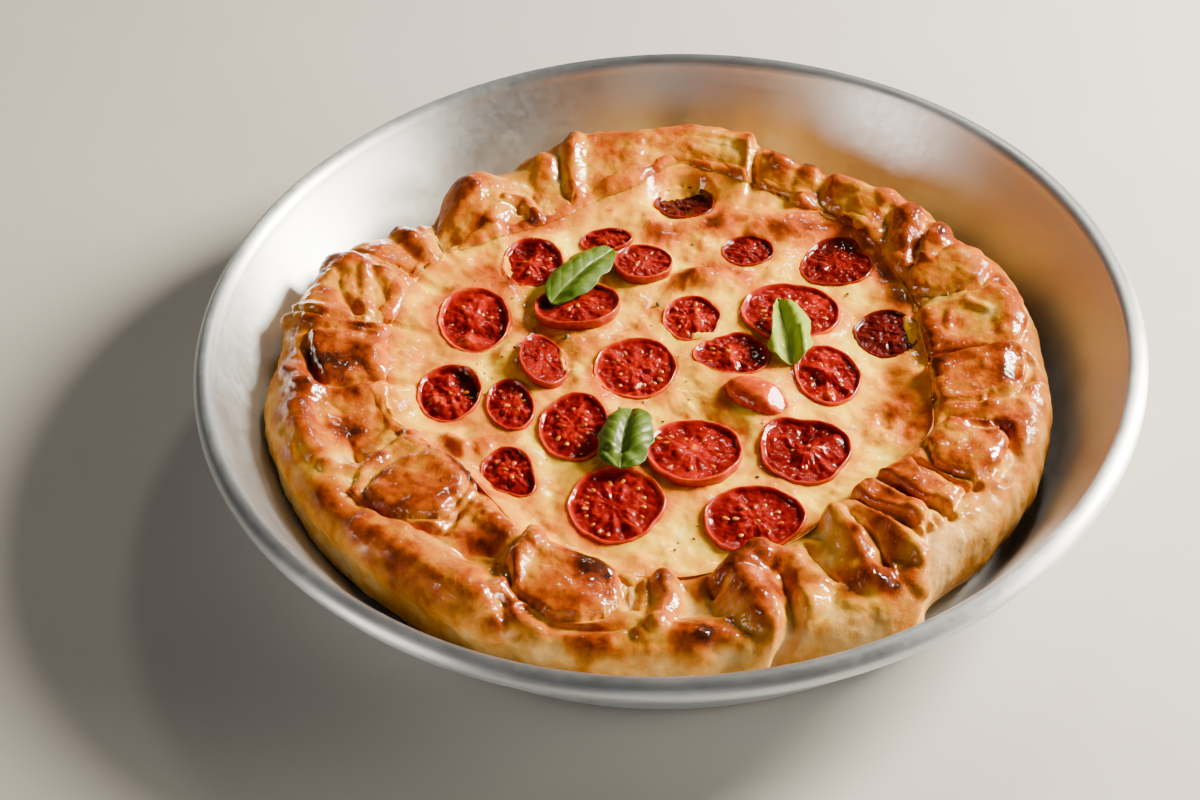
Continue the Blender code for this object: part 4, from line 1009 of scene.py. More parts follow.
TOMATO_COLOURS = (
    (0.00, (0.60, 0.120, 0.0005)),
    (0.14, (0.46, 0.045, 0.0005)),
    (0.30, (0.33, 0.008, 0.001)),
    (0.55, (0.22, 0.003, 0.001)),
    (0.80, (0.13, 0.002, 0.001)),
    (1.00, (0.05, 0.001, 0.001)),
)
ROAST_AND_SHADE_COLOUR = (0.05, 0.003, 0.002)
SEED_COLOURS = ((0.0, (0.32, 0.022, 0.001)), (0.5, (0.44, 0.070, 0.002)), (1.0, (0.54, 0.14, 0.004)))
BASIL_COLOURS = (
    (0.25, (0.030, 0.058, 0.004)),
    (0.55, (0.060, 0.105, 0.008)),
    (0.85, (0.14, 0.21, 0.016)),
    (1.00, (0.22, 0.30, 0.022)),
)
VEIN_COLOUR = (0.20, 0.27, 0.05)
HERB_COLOURS = ((0.0, (0.03, 0.03, 0.008)), (0.6, (0.09, 0.085, 0.015)), (1.0, (0.2, 0.17, 0.03)))
PAN_COLOURS = ((0.2, (0.61, 0.66, 0.70)), (0.8, (0.70, 0.75, 0.79)))
FLOOR_COLOURS = ((0.3, (0.45, 0.44, 0.425)), (0.7, (0.48, 0.47, 0.455)))
RINGS_APART = 1 / 2600  # metres between the turned rings of the pan, roughly


def pastry_finish():
    """Baked dough: pale on the wall, golden on top, browned on the puffs, with a thin glaze of egg."""
    f = Finish("baked pastry")
    tone = f.value("tone")
    glaze = f.value("glaze")
    mottled = f.sway(tone, f.noise(5.0, 4.0, 0.6, 0.5), 0.60)
    toned = f.sway(mottled, f.noise(1.3, 3.0, 0.65), 0.16)
    colour = f.mix(f.ranged(glaze, 0.2, 0.7), f.ramp(toned, WALL_COLOURS), f.ramp(toned, CRUST_COLOURS))
    pores = f.bump(f.noise(0.8, 4.0, 0.65), 0.05)
    grain = f.bump(f.noise(2.8, 3.0, 0.55, 0.4), 0.30, pores)
    blisters = f.bump(f.cells(1.9), f.ranged(f.noise(8.0), 0.46, 0.6, 0.02, 0.34))
    skin = f.bump(f.noise(3.4, 3.0, 0.5, 0.5), 0.42, blisters)
    return f.surface(
        Base_Color=colour,
        Roughness=f.math("MULTIPLY_ADD", glaze, -0.30, 0.66),
        Specular_IOR_Level=0.04,
        Normal=grain,
        Coat_Weight=f.math("MULTIPLY", glaze, f.ranged(f.noise(7.0), 0.40, 0.6, 0.15, 0.95)),
        Coat_Roughness=0.07,
        Coat_IOR=1.7,
        Coat_Normal=skin,
    )


def cheese_finish():
    """Melted cheese: creamy, oily and slightly see-through, with toasted and tomato-stained places and
    painted shade.
    """
    f = Finish("melted cheese")
    tone = f.value("tone")
    toned = f.sway(tone, f.noise(8.0, 4.0, 0.6, 0.8), 0.30)
    toned = f.sway(toned, f.noise(1.8, 3.0, 0.6), 0.08)
    toned = f.math("SUBTRACT", toned, f.math("MULTIPLY", f.value("cream"), 0.25))
    colour = f.mix(f.value("stain"), f.ramp(toned, CHEESE_COLOURS), STAIN_COLOUR)
    rippled = f.ranged(tone, 0.2, 0.6, 0.25, 1.1)
    film = f.bump(f.noise(1.4, 2.0, 0.5, 0.3), f.math("MULTIPLY", rippled, 0.10))
    film = f.bump(f.noise(3.6, 2.0, 0.5, 0.3), f.math("MULTIPLY", rippled, 0.55), film)
    return f.surface(
        Base_Color=colour,
        Roughness=f.math("MULTIPLY_ADD", f.noise(6.0), 0.3, 0.26),
        Specular_IOR_Level=0.05,
        Normal=film,
        Coat_Weight=f.ranged(f.noise(9.0, 3.0), 0.4, 0.6, 0.2, 0.9),
        Coat_Roughness=0.06,
        Coat_IOR=1.6,
        Subsurface_Weight=0.6,
        Subsurface_Radius=(1.0, 0.45, 0.1),
        Subsurface_Scale=0.004,
    )


def tomato_finish():
    """Baked tomato: skin, flesh and jelly told apart by depth, all of it wet."""
    f = Finish("baked tomato")
    depth = f.value("depth")
    mottled = f.sway(depth, f.noise(2.2, 3.0, 0.6), 0.6)
    # darker where roasted, which on the tomatoes at the back is also painted shade
    colour = f.mix(f.value("roast_and_shade"), f.ramp(mottled, TOMATO_COLOURS), ROAST_AND_SHADE_COLOUR)
    wet = f.bump(f.noise(0.9, 2.0, 0.5), f.math("MULTIPLY_ADD", depth, 0.05, 0.01))
    wet = f.bump(f.noise(2.8, 2.0, 0.5, 0.5), f.math("MULTIPLY_ADD", depth, 0.28, 0.06), wet)
    return f.surface(
        Base_Color=colour,
        Roughness=f.math("MULTIPLY_ADD", f.noise(3.0), 0.14, 0.3),
        Specular_IOR_Level=0.02,
        Normal=wet,
        Coat_Weight=0.5,
        Coat_Roughness=0.05,
        Subsurface_Weight=0.4,
        Subsurface_Radius=(1.0, 0.10, 0.04),
        Subsurface_Scale=0.003,
    )


def seed_finish():
    f = Finish("tomato seed")
    return f.surface(
        Base_Color=f.ramp(f.value("pale"), SEED_COLOURS),
        Roughness=0.22,
        Normal=f.bump(f.noise(0.5), 0.05),
        Coat_Weight=0.5,
        Coat_Roughness=0.05,
    )


def basil_finish():
    """A freshly picked leaf: green blade with paler veins and a satin skin; on the second leaf the green is
    painted light.
    """
    f = Finish("basil")
    shade = f.noise(5.0, 3.0, 0.6)
    # the per-leaf shift of the green is painted light on the second leaf
    blade = f.ramp(f.math("ADD", shade, f.value("paleness_and_painted_light")), BASIL_COLOURS)
    return f.surface(
        Base_Color=f.mix(f.math("MULTIPLY", f.value("vein"), 0.5), blade, VEIN_COLOUR),
        Roughness=f.ranged(shade, 0.3, 0.7, 0.34, 0.5),
        Specular_IOR_Level=0.15,
        Normal=f.bump(f.noise(0.6, 3.0, 0.6), 0.05),
        Coat_Weight=0.18,
        Coat_Roughness=0.14,
        Subsurface_Weight=0.15,
        Subsurface_Radius=(0.3, 1.0, 0.1),
        Subsurface_Scale=0.001,
    )


def pan_finish():
    """Spun aluminium: fine turned rings, and a cloudy, slightly scuffed surface."""
    f = Finish("spun aluminium")
    x, y, z = f.add("ShaderNodeSeparateXYZ", {"Vector": f.place()}).outputs
    radius = f.math("SQRT", f.math("ADD", f.math("MULTIPLY", x, x), f.math("MULTIPLY", y, y)))
    across, up = (f.math("MULTIPLY", value, 1 / RINGS_APART) for value in (radius, z))
    rings = f.add("ShaderNodeCombineXYZ", {"X": across, "Z": up}).outputs["Vector"]
    turned = f.noise(1000.0, 3.0, 0.7, vector=rings)
    cloud = f.noise(22.0, 4.0, 0.6, 0.5)
    scuff = f.noise(3.0, 4.0, 0.7)
    round_the_axis = f.add("ShaderNodeTangent", direction_type="RADIAL", axis="Z").outputs["Tangent"]
    return f.surface(
        Base_Color=f.ramp(cloud, PAN_COLOURS),
        Metallic=1.0,
        Roughness=f.math("ADD", f.ranged(cloud, 0.3, 0.7, 0.36, 0.44), f.ranged(scuff, 0.3, 0.7, 0.0, 0.08)),
        Anisotropic=0.7,
        Anisotropic_Rotation=0.25,
        Tangent=round_the_axis,
        Normal=f.bump(turned, 0.03),
    )


def herb_finish():
    f = Finish("dried herb")
    colour = f.ramp(f.value("pale"), HERB_COLOURS)
    return f.surface(Base_Color=colour, Roughness=0.5, Normal=f.bump(f.noise(0.4), 0.06))


# ---------------------------------------------------------------- the pan


def make_pan():
    """The pan's own section, turned round many more times and slightly uneven."""
    turns = round_turns(PAN_COLUMNS)
    section = np.array(pan_profile()[::-1])
    radius, height = section[:, :1], section[:, 1:]
    grid = xyz(radius * np.cos(turns), radius * np.sin(turns), height)
    uneven = PAN_UNEVENNESS * fractal(grid, 60.0, 3, 2) * smooth_step(height, 4.0, 20.0)
    grid = grid + uneven[..., None] * xyz(np.cos(turns), np.sin(turns), 0.0)
    points, faces = closed_body(grid, (0, 0, 0), (0, 0, PAN_SHEET))
    add_mesh("spun_pan", points, faces, pan_finish(), ["pan"])


# ---------------------------------------------------------------- the pastry


def pastry_grid(columns, finer):
    degrees = np.arange(columns) * 360 / columns
    rows = refine(pastry_sections(degrees), finer)
    return degrees, pastry_rings(degrees, rows, CREST_ROW * finer)


def pastry_detail(grid, wall):
    """The fine unevenness of baked dough: dimples, blisters on top, and upright wrinkles down the wall."""
    upright = grid * np.array((1.0, 1.0, 0.3))
    detail = with_noise(0.0, grid, PASTRY_NOISE) + wall * 0.9 * fractal(upright, 6.0, 13, 3)
    for height, spacing, seed, share in PASTRY_BLISTERS:
        detail = detail + (1 - wall) * height * bubbles(grid, spacing, seed, share)
    return detail


def blurred(field, reach):
    """A grid of values evened out over a few rows and columns each way."""
    for _ in range(2):
        field = sum(np.roll(field, k, axis=1) for k in range(-reach, reach + 1)) / (2 * reach + 1)
        padded = np.concatenate((field[:1].repeat(reach, 0), field, field[-1:].repeat(reach, 0)))
        field = sum(padded[k : k + len(field)] for k in range(2 * reach + 1)) / (2 * reach + 1)
    return field


def convexity(grid, normal, reach):
    """How far each point stands out, in millimetres, from the mean of the surface round it."""
    return ((grid - blurred(grid, reach)) * normal).sum(axis=-1)


def make_pastry():
    degrees, grid = pastry_grid(PASTRY_COLUMNS, PASTRY_FINER)
    row = np.arange(len(grid))[:, None] / PASTRY_FINER * np.ones(PASTRY_COLUMNS)
    x, y = grid[..., 0], grid[..., 1]
    wall = 1 - smooth_step(row + 1.1 * fractal(grid, 9.0, 16, 3), 2.6, 5.4)
    exposed = smooth_step(row, 1.0, 2.5) * (1 - smooth_step(row, 13.0, 14.0))
    normal = grid_normals(grid)
    standing = np.clip(convexity(grid, normal, 5), -1.5, 1.5)
    fullness = np.full(PASTRY_COLUMNS, FULLNESS)
    for towards, spread, more in FULLER_FOLDS:
        fullness += more * np.exp(-((degrees_off(degrees, towards) / spread) ** 2))
    for _ in range(FOLD_ROUNDS):
        outward = blurred(normal, 3)
        hollow = blurred(np.clip(-convexity(grid, outward, 9), 0, 3.0), 3)
        grid = grid + (fullness * hollow * exposed)[..., None] * outward
        normal = grid_normals(grid)
    fine = (pastry_detail(grid, wall) * exposed)[..., None]
    tone = WALL_TONE * wall + TOP_TONE * (1 - wall) + STANDING_TONE * standing * (1 - 0.6 * wall)
    # The strokes add browning, and in places painted shade and painted light.
    tone = with_noise(tone, grid, PASTRY_MOTTLE) + spots(x, y, BROWNING_AND_PAINTED_LIGHT) * (1 - 0.7 * wall)
    glaze = smooth_step(row + 1.3 * fractal(grid, 8.0, 16, 3), 4.0, 6.4) + 0.4 * fractal(grid, 7.0, 19, 2)
    glaze = np.clip(glaze, 0, 1)
    middles = (*PIE_CENTRE, PASTRY_BOTTOM), (*PIE_CENTRE, PASTRY_BASE_TOP)
    points, faces = closed_body(grid + fine * normal, *middles)
    values = {"tone": with_ends(np.clip(tone, 0, 1)), "glaze": with_ends(glaze)}
    add_mesh("baked_pastry", points, faces, pastry_finish(), ["pastry"], values)


# ---------------------------------------------------------------- the tomatoes' places


def tomato_radius(number, spec, angle):
    """How far the uneven outline of a tomato lies from its middle, at angles from +X."""
    if number in TOMATO_EDGES:
        radius = around(TOMATO_EDGES[number], np.degrees(angle))
    else:
        turned = angle - math.radians(spec[4])
        radius = 1 / np.hypot(np.cos(turned) / (spec[2] / 2), np.sin(turned) / (spec[3] / 2))
    rng = np.random.default_rng(OUTLINE_DRAWS + number)
    for waves, size in OUTLINE_WAVES:
        size = size * rng.uniform(0.5, 1)
        radius = radius * (1 + size * np.sin(waves * angle + rng.uniform(0, FULL_TURN)))
    return radius


def cut_plane(spec, px, py):
    return spec[5] - math.tan(math.radians(spec[6])) * px - math.tan(math.radians(spec[7])) * py


def beside_tomato(number, spec, x, y):
    """Distance outside a tomato's outline (negative inside) and the height of its cut plane there."""
    px, py = x - spec[0], y - spec[1]
    away = np.hypot(px, py) - tomato_radius(number, spec, np.arctan2(py, px))
    return away, cut_plane(spec, px, py)


# ---------------------------------------------------------------- the filling


def cheese_height(x, y):
    """The cheese's own surface, its ragged climb against each tomato, and the beds under them."""
    flat = xyz(x, y, 0.0)
    height = with_noise(filling_height(x, y), flat, CHEESE_NOISE)
    for rise, spacing, seed, share in CHEESE_BUBBLES:
        height = height + rise * bubbles(flat, spacing, seed, share)
    height = height + spots(x, y, CHEESE_RELIEF)
    for half_width, size, *line in RIPPLES:
        height = height + size * soft_spot(x, y, line, half_width) * fractal(flat, 2.6, 33, 2)
    nearest = np.full(x.shape, FAR)
    ragged = fractal(flat, 7.0, 24, 3)
    cover = spots(x, y, COVERS)
    cover = 1.5 * cover + 0.7 * ragged * np.minimum(3 * cover, 1)
    for number, spec in enumerate(TOMATOES, start=1):
        away, plane = beside_tomato(number, spec, x, y)
        over = plane - CHEESE_BELOW_RIM.get(number, BELOW_RIM) + 0.9 * ragged
        climb = np.clip(over - height, *CLIMB_LIMITS)
        height = height + climb * np.exp(-((np.maximum(away, 0) / CLIMB_REACH) ** 2))
        inside = away < -0.1 - 1.0 * np.maximum(ragged, 0)
        bed = plane[inside] - BELOW_RIM - BED_DEPTH * smooth_step(-away[inside], 0.0, 2.5)
        film = face_height(number, spec, x[inside], y[inside]) + 1.4 * np.minimum(cover[inside] - 0.45, 0.6)
        bed = bed + (film - bed) * smooth_step(cover[inside], *COVER_SHOWS)
        height[inside] = np.where(cover[inside] > COVER_SHOWS[0], bed, np.minimum(height[inside], bed))
        nearest = np.minimum(nearest, away)
    return height, nearest


def make_filling():
    """Rings from the middle to the crust, and on over the crust's inner slope where cheese climbed it."""
    degrees, crust = pastry_grid(FILLING_COLUMNS, PASTRY_FINER)
    turn = np.radians(degrees)
    edge = around(INNER_EDGE, degrees) - 0.6
    climb = np.clip(around(CHEESE_CLIMB, degrees), 0, 1)
    share = np.linspace(0.012, 1, FILLING_ROWS)[:, None]
    x, y = from_pie(share * edge, turn)
    height, nearest = cheese_height(x, y)
    rows = np.arange(int(CHEESE_FROM_ROW * PASTRY_FINER), int(CHEESE_TO_ROW * PASTRY_FINER), -1)
    lip = crust[rows[0], :, 2]
    edge_height = (1 - climb) * (around(LIP_HEIGHT, degrees) - BELOW_LIP) + climb * (lip + 0.5)
    inside = (1 - share) * edge
    rise = np.exp(-((inside / (2.5 + 5.5 * climb)) ** 1.4))
    height = height + (edge_height - height) * rise * smooth_step(nearest, -0.5, 2.0)

    slope = crust[rows]
    reach = np.linspace(0, 1, len(rows))[:, None]
    thick = climb * (1.5 - 2.6 * reach) + 0.9 * fractal(slope, 6.0, 25, 3) * (0.3 + climb) - 0.5 * (1 - climb)
    thick = np.clip(thick + 0.35 * bubbles(slope, 4.0, 26, 0.5), *SKIRT_THICKNESS)
    skirt = slope + grid_normals(crust)[rows] * thick[..., None]
    grid = np.concatenate((skirt[::-1], xyz(x, y, height)[::-1]))

    def over_both(on_skirt, on_field):
        values = (on_skirt, skirt), (on_field, height)
        return np.concatenate([np.broadcast_to(value, part.shape[:2])[::-1] for value, part in values])

    gx, gy = grid[..., 0], grid[..., 1]
    flat = xyz(gx, gy, 0.0)
    tone = (
        with_noise(CHEESE_TONE, flat, CHEESE_MOTTLE)
        + 0.05 * np.clip(grid[..., 2] - FILLING_LEVEL - 0.5, -2, 3)
        + 0.10 * np.exp(-over_both(0.0, inside) / 5)
        + 0.22 * over_both(reach, 0.0)
        # toasted places, and painted shade where the crust shades the cheese
        + spots(gx, gy, TOASTED_AND_SHADE)
    )
    cream = np.clip(spots(gx, gy, CREAM) + 0.5 * fractal(flat, 7.0, 29, 3), 0, 1)
    halo = np.exp(-((np.maximum(over_both(FAR, nearest), 0) / HALO_WIDTH) ** 2))
    halo = halo * np.clip(0.35 + 1.2 * fractal(flat, 9.0, 30, 2), 0, 1)
    stain = np.clip(HALO_STAIN * halo + spots(gx, gy, STAINED), 0, 0.85)
    bottom = PASTRY_BASE_TOP + GAP
    body = np.concatenate((xyz(x[-1] * 0.97, y[-1] * 0.97, bottom)[None], grid))
    points, faces = closed_body(body, (*PIE_CENTRE, bottom), (*PIE_CENTRE, float(height[0, 0])))
    pad = np.zeros((1, FILLING_COLUMNS))
    values = {
        key: with_ends(np.concatenate((pad, value)), 0.0, float(value[-1, 0]))
        for key, value in (("tone", np.clip(tone, 0, 1)), ("cream", cream), ("stain", stain))
    }
    add_mesh("melted_cheese", points, faces, cheese_finish(), ["filling"], values)


# ---------------------------------------------------------------- the tomatoes


def tomato_face(number, share, angle, place):
    """Height of the cut face below its plane, and how deep the colour is there.

    A smooth wall slopes in from the rim to the jelly, which walls of flesh cross on their way to the core.
    """
    rng = np.random.default_rng(FACE_DRAWS + number)
    walls, depth, core = TOMATO_INSIDES.get(number, (rng.integers(2, 4), 2.2, 0.34))
    start = rng.uniform(0, FULL_TURN)
    round_it = xyz(5 * np.cos(angle), 5 * np.sin(angle), 2.4 * share + 9.0 * number)
    wander = 0.5 * fractal(place, 6.0, 31 + number, 2)
    fibres = fractal(round_it, 1.3, 90 + number, 2)
    rim = smooth_step(share + 0.05 * wander, 0.86, 0.97)
    middle = 1 - smooth_step(share + 0.1 * wander, core, core + 0.24)
    across = np.exp(-((np.sin((angle + wander - start) * walls / 2) / 0.26) ** 2)) * (1 - rim)
    inside = 1 - smooth_step(share, 0.84, 0.95)
    height = (
        -0.45 * depth * (1 - rim) * (1 - 0.62 * np.maximum(middle, 0.8 * across))
        + 0.55 * fibres * inside * smooth_step(share, 0.10, 0.35)
        + 0.55 * fractal(place, 2.4, 61 + number, 2) * (0.25 + 0.75 * inside)
        + 0.22 * fractal(place, 1.1, 62 + number, 1) * inside
    )
    jelly = (1 - rim) * (1 - np.maximum(middle, across))
    colour = 0.21 + 0.19 * (1 - rim) + 0.34 * jelly + 0.10 * middle
    return height, colour - 0.14 * fibres * inside * smooth_step(share, 0.10, 0.35)


def face_height(number, spec, x, y):
    """Height of the cut face at places on the pie inside its outline."""
    px, py = x - spec[0], y - spec[1]
    angle = np.arctan2(py, px)
    share = np.hypot(px, py) / tomato_radius(number, spec, angle)
    rise = tomato_face(number, share, angle, xyz(px, py, FACE_APART * number))[0]
    return cut_plane(spec, px, py) + rise + flesh(x, y)[0] * (1 - smooth_step(share, *FLESH_EDGE))


def orange_rim(number, share, angle):
    """How orange a tomato's rim is, at angles from +X."""
    amount = np.zeros_like(angle)
    for which, towards, spread, strength in ORANGE_RIMS:
        if which == number:
            away = degrees_off(np.degrees(angle), towards) / spread
            amount = amount + strength * np.exp(-(away**2)) * smooth_step(share, 0.7, 0.88)
    return amount


def flesh(x, y):
    """Height and colour depth that the flesh's own lumps add at places on the pie, with a little painted
    shade.
    """
    height, colour = np.zeros_like(x), np.zeros_like(x)
    for half_width, rise, deeper, *line in FLESH_AND_SHADE:
        near = soft_spot(x, y, line, half_width)
        height, colour = height + rise * near, colour + deeper * near
    return height, colour


def tomato_body(number, spec):
    """Rings of points of one half, with the colour depth of each point."""
    angle = round_turns(TOMATO_COLUMNS)
    radius = tomato_radius(number, spec, angle)
    skin_up = number in SKIN_UP
    rings, depths = [], []

    def add(px, py, rise, depth):
        rings.append(xyz(spec[0] + px, spec[1] + py, cut_plane(spec, px, py) + rise))
        depths.append(depth + 0 * angle)

    def outline(share):
        return share * radius * np.cos(angle), share * radius * np.sin(angle)

    for share, rise, depth in SKIN_UP_SECTION if skin_up else SKIN_SECTION:
        add(*outline(share), rise, depth)
    for share in () if skin_up else np.linspace(*FACE_SHARES, TOMATO_FACE_ROWS):
        px, py = outline(share)
        rise, depth = tomato_face(number, share, angle, xyz(px, py, FACE_APART * number))
        more, deeper = flesh(spec[0] + px, spec[1] + py)
        inside = 1 - smooth_step(share, *FLESH_EDGE)
        orange = 0.24 * orange_rim(number, share, angle)
        add(px, py, rise + more * inside, depth + deeper * inside - orange)
    grid = np.stack(rings)
    if skin_up:
        grid[..., 2] += 0.3 * fractal(grid, 6.0, 45, 2)
        toward = np.array(FLAT_TOWARD) / np.linalg.norm(FLAT_TOWARD)
        reach = (grid - grid.reshape(-1, 3).mean(axis=0)) @ toward
        over = np.maximum(reach - FLAT_FROM * reach.max(), 0)
        grid = grid - FLAT_CUT * over[..., None] * toward
    return grid, np.stack(depths)


def seed_points():
    """A flat teardrop a unit long, as rings of points."""
    turns = round_turns(SEED_SIDES)
    rings = []
    for k in range(1, SEED_RINGS):
        t = math.pi * k / SEED_RINGS
        wide = 0.31 * math.sin(t) * (1 - 0.28 * math.cos(t))
        rings.append(xyz(-0.5 * math.cos(t), wide * np.cos(turns), 0.55 * wide * np.sin(turns)))
    return np.array(rings)


def add_grains(name, grains, finish):
    """One piece of many small teardrops, each given as (middle, length, turn, paleness)."""
    shape = seed_points()
    tips = np.array(((-0.5, 0, 0), (0.5, 0, 0)))
    points, faces, pales = [], [], []
    for middle, length, turned, pale in grains:
        body, ends = ((part * length) @ np.array(turned).T + middle for part in (shape, tips))
        body_points, body_faces = closed_body(body, *ends)
        shift = sum(len(p) for p in points)
        points.append(body_points)
        faces += [tuple(i + shift for i in face) for face in body_faces]
        pales.append(np.full(len(body_points), pale))
    add_mesh(name, np.concatenate(points), faces, finish, (), {"pale": np.concatenate(pales)})


def tilted(turn, tilt):
    return Matrix.Rotation(turn, 3, "Z") @ Matrix.Rotation(tilt, 3, "Y")


def make_seeds():
    rng = np.random.default_rng(SEED_DRAWS)
    grains = []
    for number, places in SEEDS.items():
        spec = TOMATOES[number - 1]
        for x, y in zip(places[::2], places[1::2]):
            angle = math.atan2(y - spec[1], x - spec[0])
            height = face_height(number, spec, np.array([float(x)]), np.array([float(y)]))
            turned = tilted(angle + rng.uniform(-0.4, 0.4), rng.uniform(-0.3, 0.3))
            middle = np.array((x, y, height[0] - SEED_SUNK))
            grains.append((middle, rng.uniform(*SEED_LENGTHS), turned, rng.uniform(0, 1)))
    add_grains("tomato_seeds", grains, seed_finish())


def make_tomatoes():
    finish = tomato_finish()
    for number, spec in enumerate(TOMATOES, start=1):
        grid, depth = tomato_body(number, spec)
        points, faces = closed_body(grid, grid[0].mean(axis=0), grid[-1].mean(axis=0))
        # roasting, and painted shade on the tomatoes at the back
        roast_and_shade = ROAST_AND_SHADE.get(number, 0.0) + 0.3 * np.clip(fractal(grid, 6.0, 46, 2) - 0.2, 0, 1)
        values = {
            "depth": with_ends(np.clip(depth, 0, 1), 0.3, float(depth[-1].mean())),
            "roast_and_shade": with_ends(roast_and_shade, 0, roast_and_shade[-1].mean()),
        }
        node = f"tomato_{number:02d}"
        add_mesh(f"tomato_half_{number:02d}", points, faces, finish, [node], values)


# ---------------------------------------------------------------- the basil


def leaf_surface(number, base, tip, droop, arch):
    """Points of a leaf's middle sheet and how strongly a vein shows at each."""
    u = np.linspace(0, 1, LEAF_FINE_ROWS)[:, None]
    v = np.linspace(-1, 1, LEAF_FINE_COLUMNS)[None, :]
    base, tip = np.array(base), np.array(tip)
    run = tip - base
    across = np.array((run[1], -run[0], 0.0)) / np.hypot(run[0], run[1])
    edges = np.array(LEAF_EDGES[number - 1])
    left = np.interp(u, edges[:, 0], edges[:, 1])
    right = np.interp(u, edges[:, 0], edges[:, 2])
    ripple = 1 + 0.05 * np.sin(17 * u + 2 * number) + 0.03 * np.sin(31 * u)
    out = np.where(v < 0, left, right) * v * ripple
    length = np.linalg.norm(run)
    flat = xyz(u * length, out, LEAF_APART * number)
    rise = arch * np.sin(math.pi * u) - droop * (out / 8) ** 2
    for half_width, height, *line in LEAF_FOLDS[number - 1]:
        line = np.reshape(line, (-1, 2)) * (length, 1)
        rise = rise + height * soft_spot(flat[..., 0], flat[..., 1], line, half_width, LEAF_FOLD_FALL)
    slanted = (u - 0.30 * np.abs(out) / 8) * LEAF_VEINS + 0.12 * fractal(flat, 5.0, 74, 2)
    side_vein = np.exp(-(((slanted - np.round(slanted)) / 0.10) ** 2)) * (1 - np.abs(v) ** 3)
    midrib = np.exp(-((out / 0.35) ** 2))
    quilt = np.abs(np.sin(math.pi * slanted)) * np.clip(np.abs(out) / 3, 0, 1) * (1 - v**4)
    rise = rise + QUILT * quilt - MIDRIB * midrib - SIDE_VEIN * side_vein
    rise = rise + 0.4 * fractal(flat, 6.5, 70 + number, 2)
    rise = rise + 0.35 * fractal(flat, 3.0, 75, 1) * np.abs(v) ** 4
    points = base + run * u[..., None] + across * out[..., None] + xyz(0, 0, rise)
    return points, np.clip(midrib + 0.5 * side_vein, 0, 1)


def make_leaves():
    finish = basil_finish()
    for number, (base, tip, droop, arch, paleness_and_painted_light) in enumerate(LEAVES, start=1):
        sheet, vein = leaf_surface(number, base, tip, droop, arch)
        faces = grid_faces(*sheet.shape[:2], closed=False)
        values = {"vein": vein, "paleness_and_painted_light": np.full(vein.size, paleness_and_painted_light)}
        node = f"basil_leaf_{number}"
        made = add_mesh(f"basil_{number}", sheet.reshape(-1, 3), faces, finish, [node], values)
        thicken = made.modifiers.new("thickness", "SOLIDIFY")
        thicken.thickness = LEAF_FINE_THICKNESS * MM
        thicken.offset = 0.0


# ---------------------------------------------------------------- small things


def make_herbs():
    """Flecks of dried herb on the cheese, most of them small."""
    rng = np.random.default_rng(HERB_DRAWS)
    places = list(HERB_PLACES)
    while len(places) < HERB_COUNT:
        angle, share = rng.uniform(0, 2 * math.pi), math.sqrt(rng.uniform(0, 0.9))
        reach = share * HERB_SPREAD
        places.append((reach * math.cos(angle), reach * math.sin(angle), rng.uniform(*HERB_SIZES)))
    heights, nearest = cheese_height(*np.array(places, float).T[:2])
    grains = []
    for (x, y, size), height, away in zip(places, heights, nearest):
        if away >= HERB_CLEAR:
            turned = tilted(rng.uniform(0, FULL_TURN), rng.uniform(-0.4, 0.4))
            grains.append((np.array((x, y, height + HERB_LIFT)), size, turned, rng.uniform(0, 1)))
    add_grains("herb_flecks", grains, herb_finish())


# ---------------------------------------------------------------- stage, light and camera


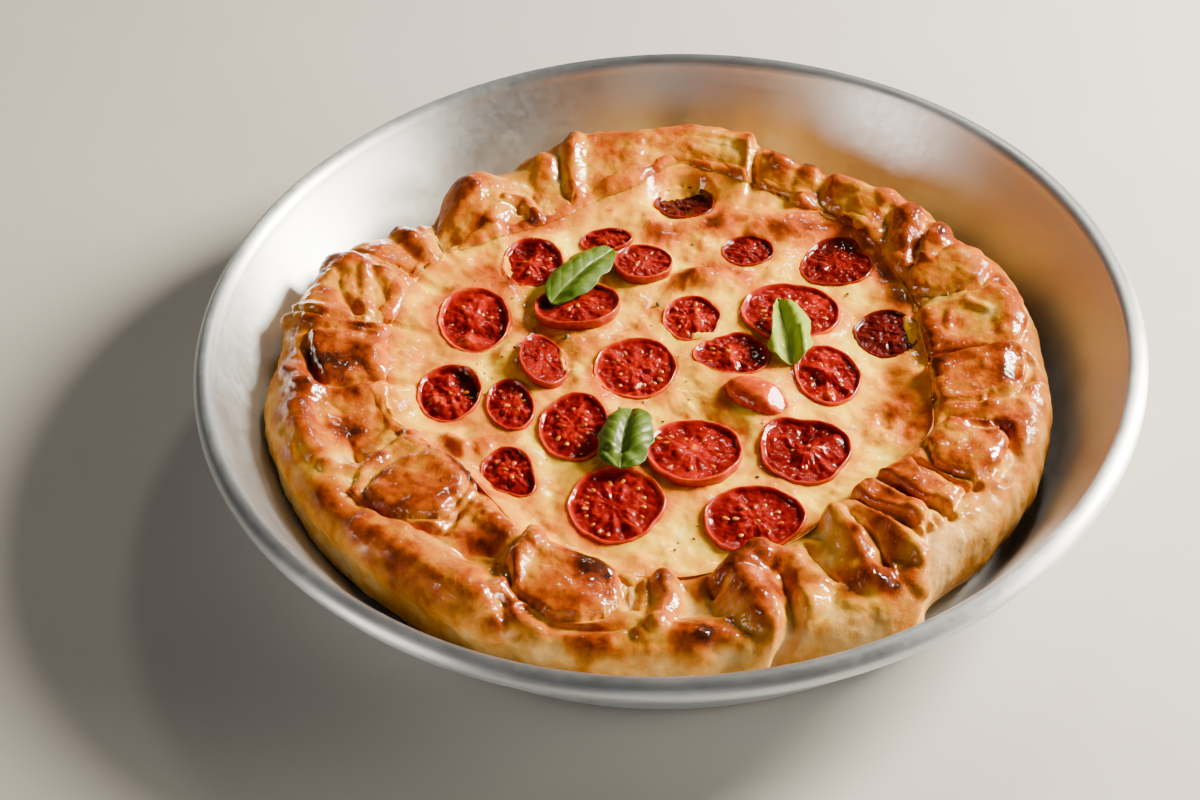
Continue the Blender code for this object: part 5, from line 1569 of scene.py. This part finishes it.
def make_stage():
    """A plain pale floor."""
    mesh = bpy.data.meshes.new("floor")
    signs = ((-1, -1), (1, -1), (1, 1), (-1, 1))
    corners = [(x * FLOOR_HALF * MM, y * FLOOR_HALF * MM, 0) for x, y in signs]
    mesh.from_pydata(corners, [], [(0, 1, 2, 3)])
    floor = bpy.data.objects.new("floor", mesh)
    bpy.context.scene.collection.objects.link(floor)
    f = Finish("pale floor")
    mesh.materials.append(f.surface(Base_Color=f.ramp(f.noise(90.0, 2.0), FLOOR_COLOURS), Roughness=0.6))


def make_light(name, azimuth, elevation, distance, size, watts, colour):
    lamp = bpy.data.lights.new(name, "AREA")
    lamp.shape, lamp.size, lamp.energy, lamp.color = "DISK", size, watts, colour
    made = bpy.data.objects.new(name, lamp)
    bpy.context.scene.collection.objects.link(made)
    a, e = math.radians(azimuth), math.radians(elevation)
    away = Vector((math.cos(e) * math.cos(a), math.cos(e) * math.sin(a), math.sin(e)))
    made.location = away * distance
    made.rotation_euler = away.to_track_quat("Z", "Y").to_euler()


def make_world():
    world = bpy.data.worlds.new("studio")
    world.use_nodes = True
    background = world.node_tree.nodes["Background"]
    background.inputs["Color"].default_value = (*WORLD_COLOUR, 1.0)
    background.inputs["Strength"].default_value = WORLD_STRENGTH
    bpy.context.scene.world = world


def make_camera():
    """The photograph's camera: its place, how far it looks down, and how far it is rolled."""
    pitch, roll = math.radians(CAMERA_PITCH), math.radians(CAMERA_ROLL)
    ahead = Vector((0, math.cos(pitch), -math.sin(pitch)))
    right = Vector((1, 0, 0))
    up = right.cross(ahead)
    c, s = math.cos(roll), math.sin(roll)
    side, top = c * right + s * up, c * up - s * right
    lens = bpy.data.cameras.new("camera")
    lens.lens, lens.sensor_width = CAMERA_LENS, SENSOR_WIDTH
    lens.clip_start, lens.clip_end = CAMERA_CLIP
    camera = bpy.data.objects.new("camera", lens)
    bpy.context.scene.collection.objects.link(camera)
    place = Vector(CAMERA_AT) * MM
    camera.matrix_world = Matrix([(side[k], top[k], -ahead[k], place[k]) for k in range(3)] + [(0, 0, 0, 1)])
    bpy.context.scene.camera = camera


def main():
    make_camera()
    make_stage()
    make_world()
    for light in LIGHTS:
        make_light(*light)
    for make in (make_pan, make_pastry, make_filling, make_tomatoes, make_seeds, make_leaves, make_herbs):
        make()


main()
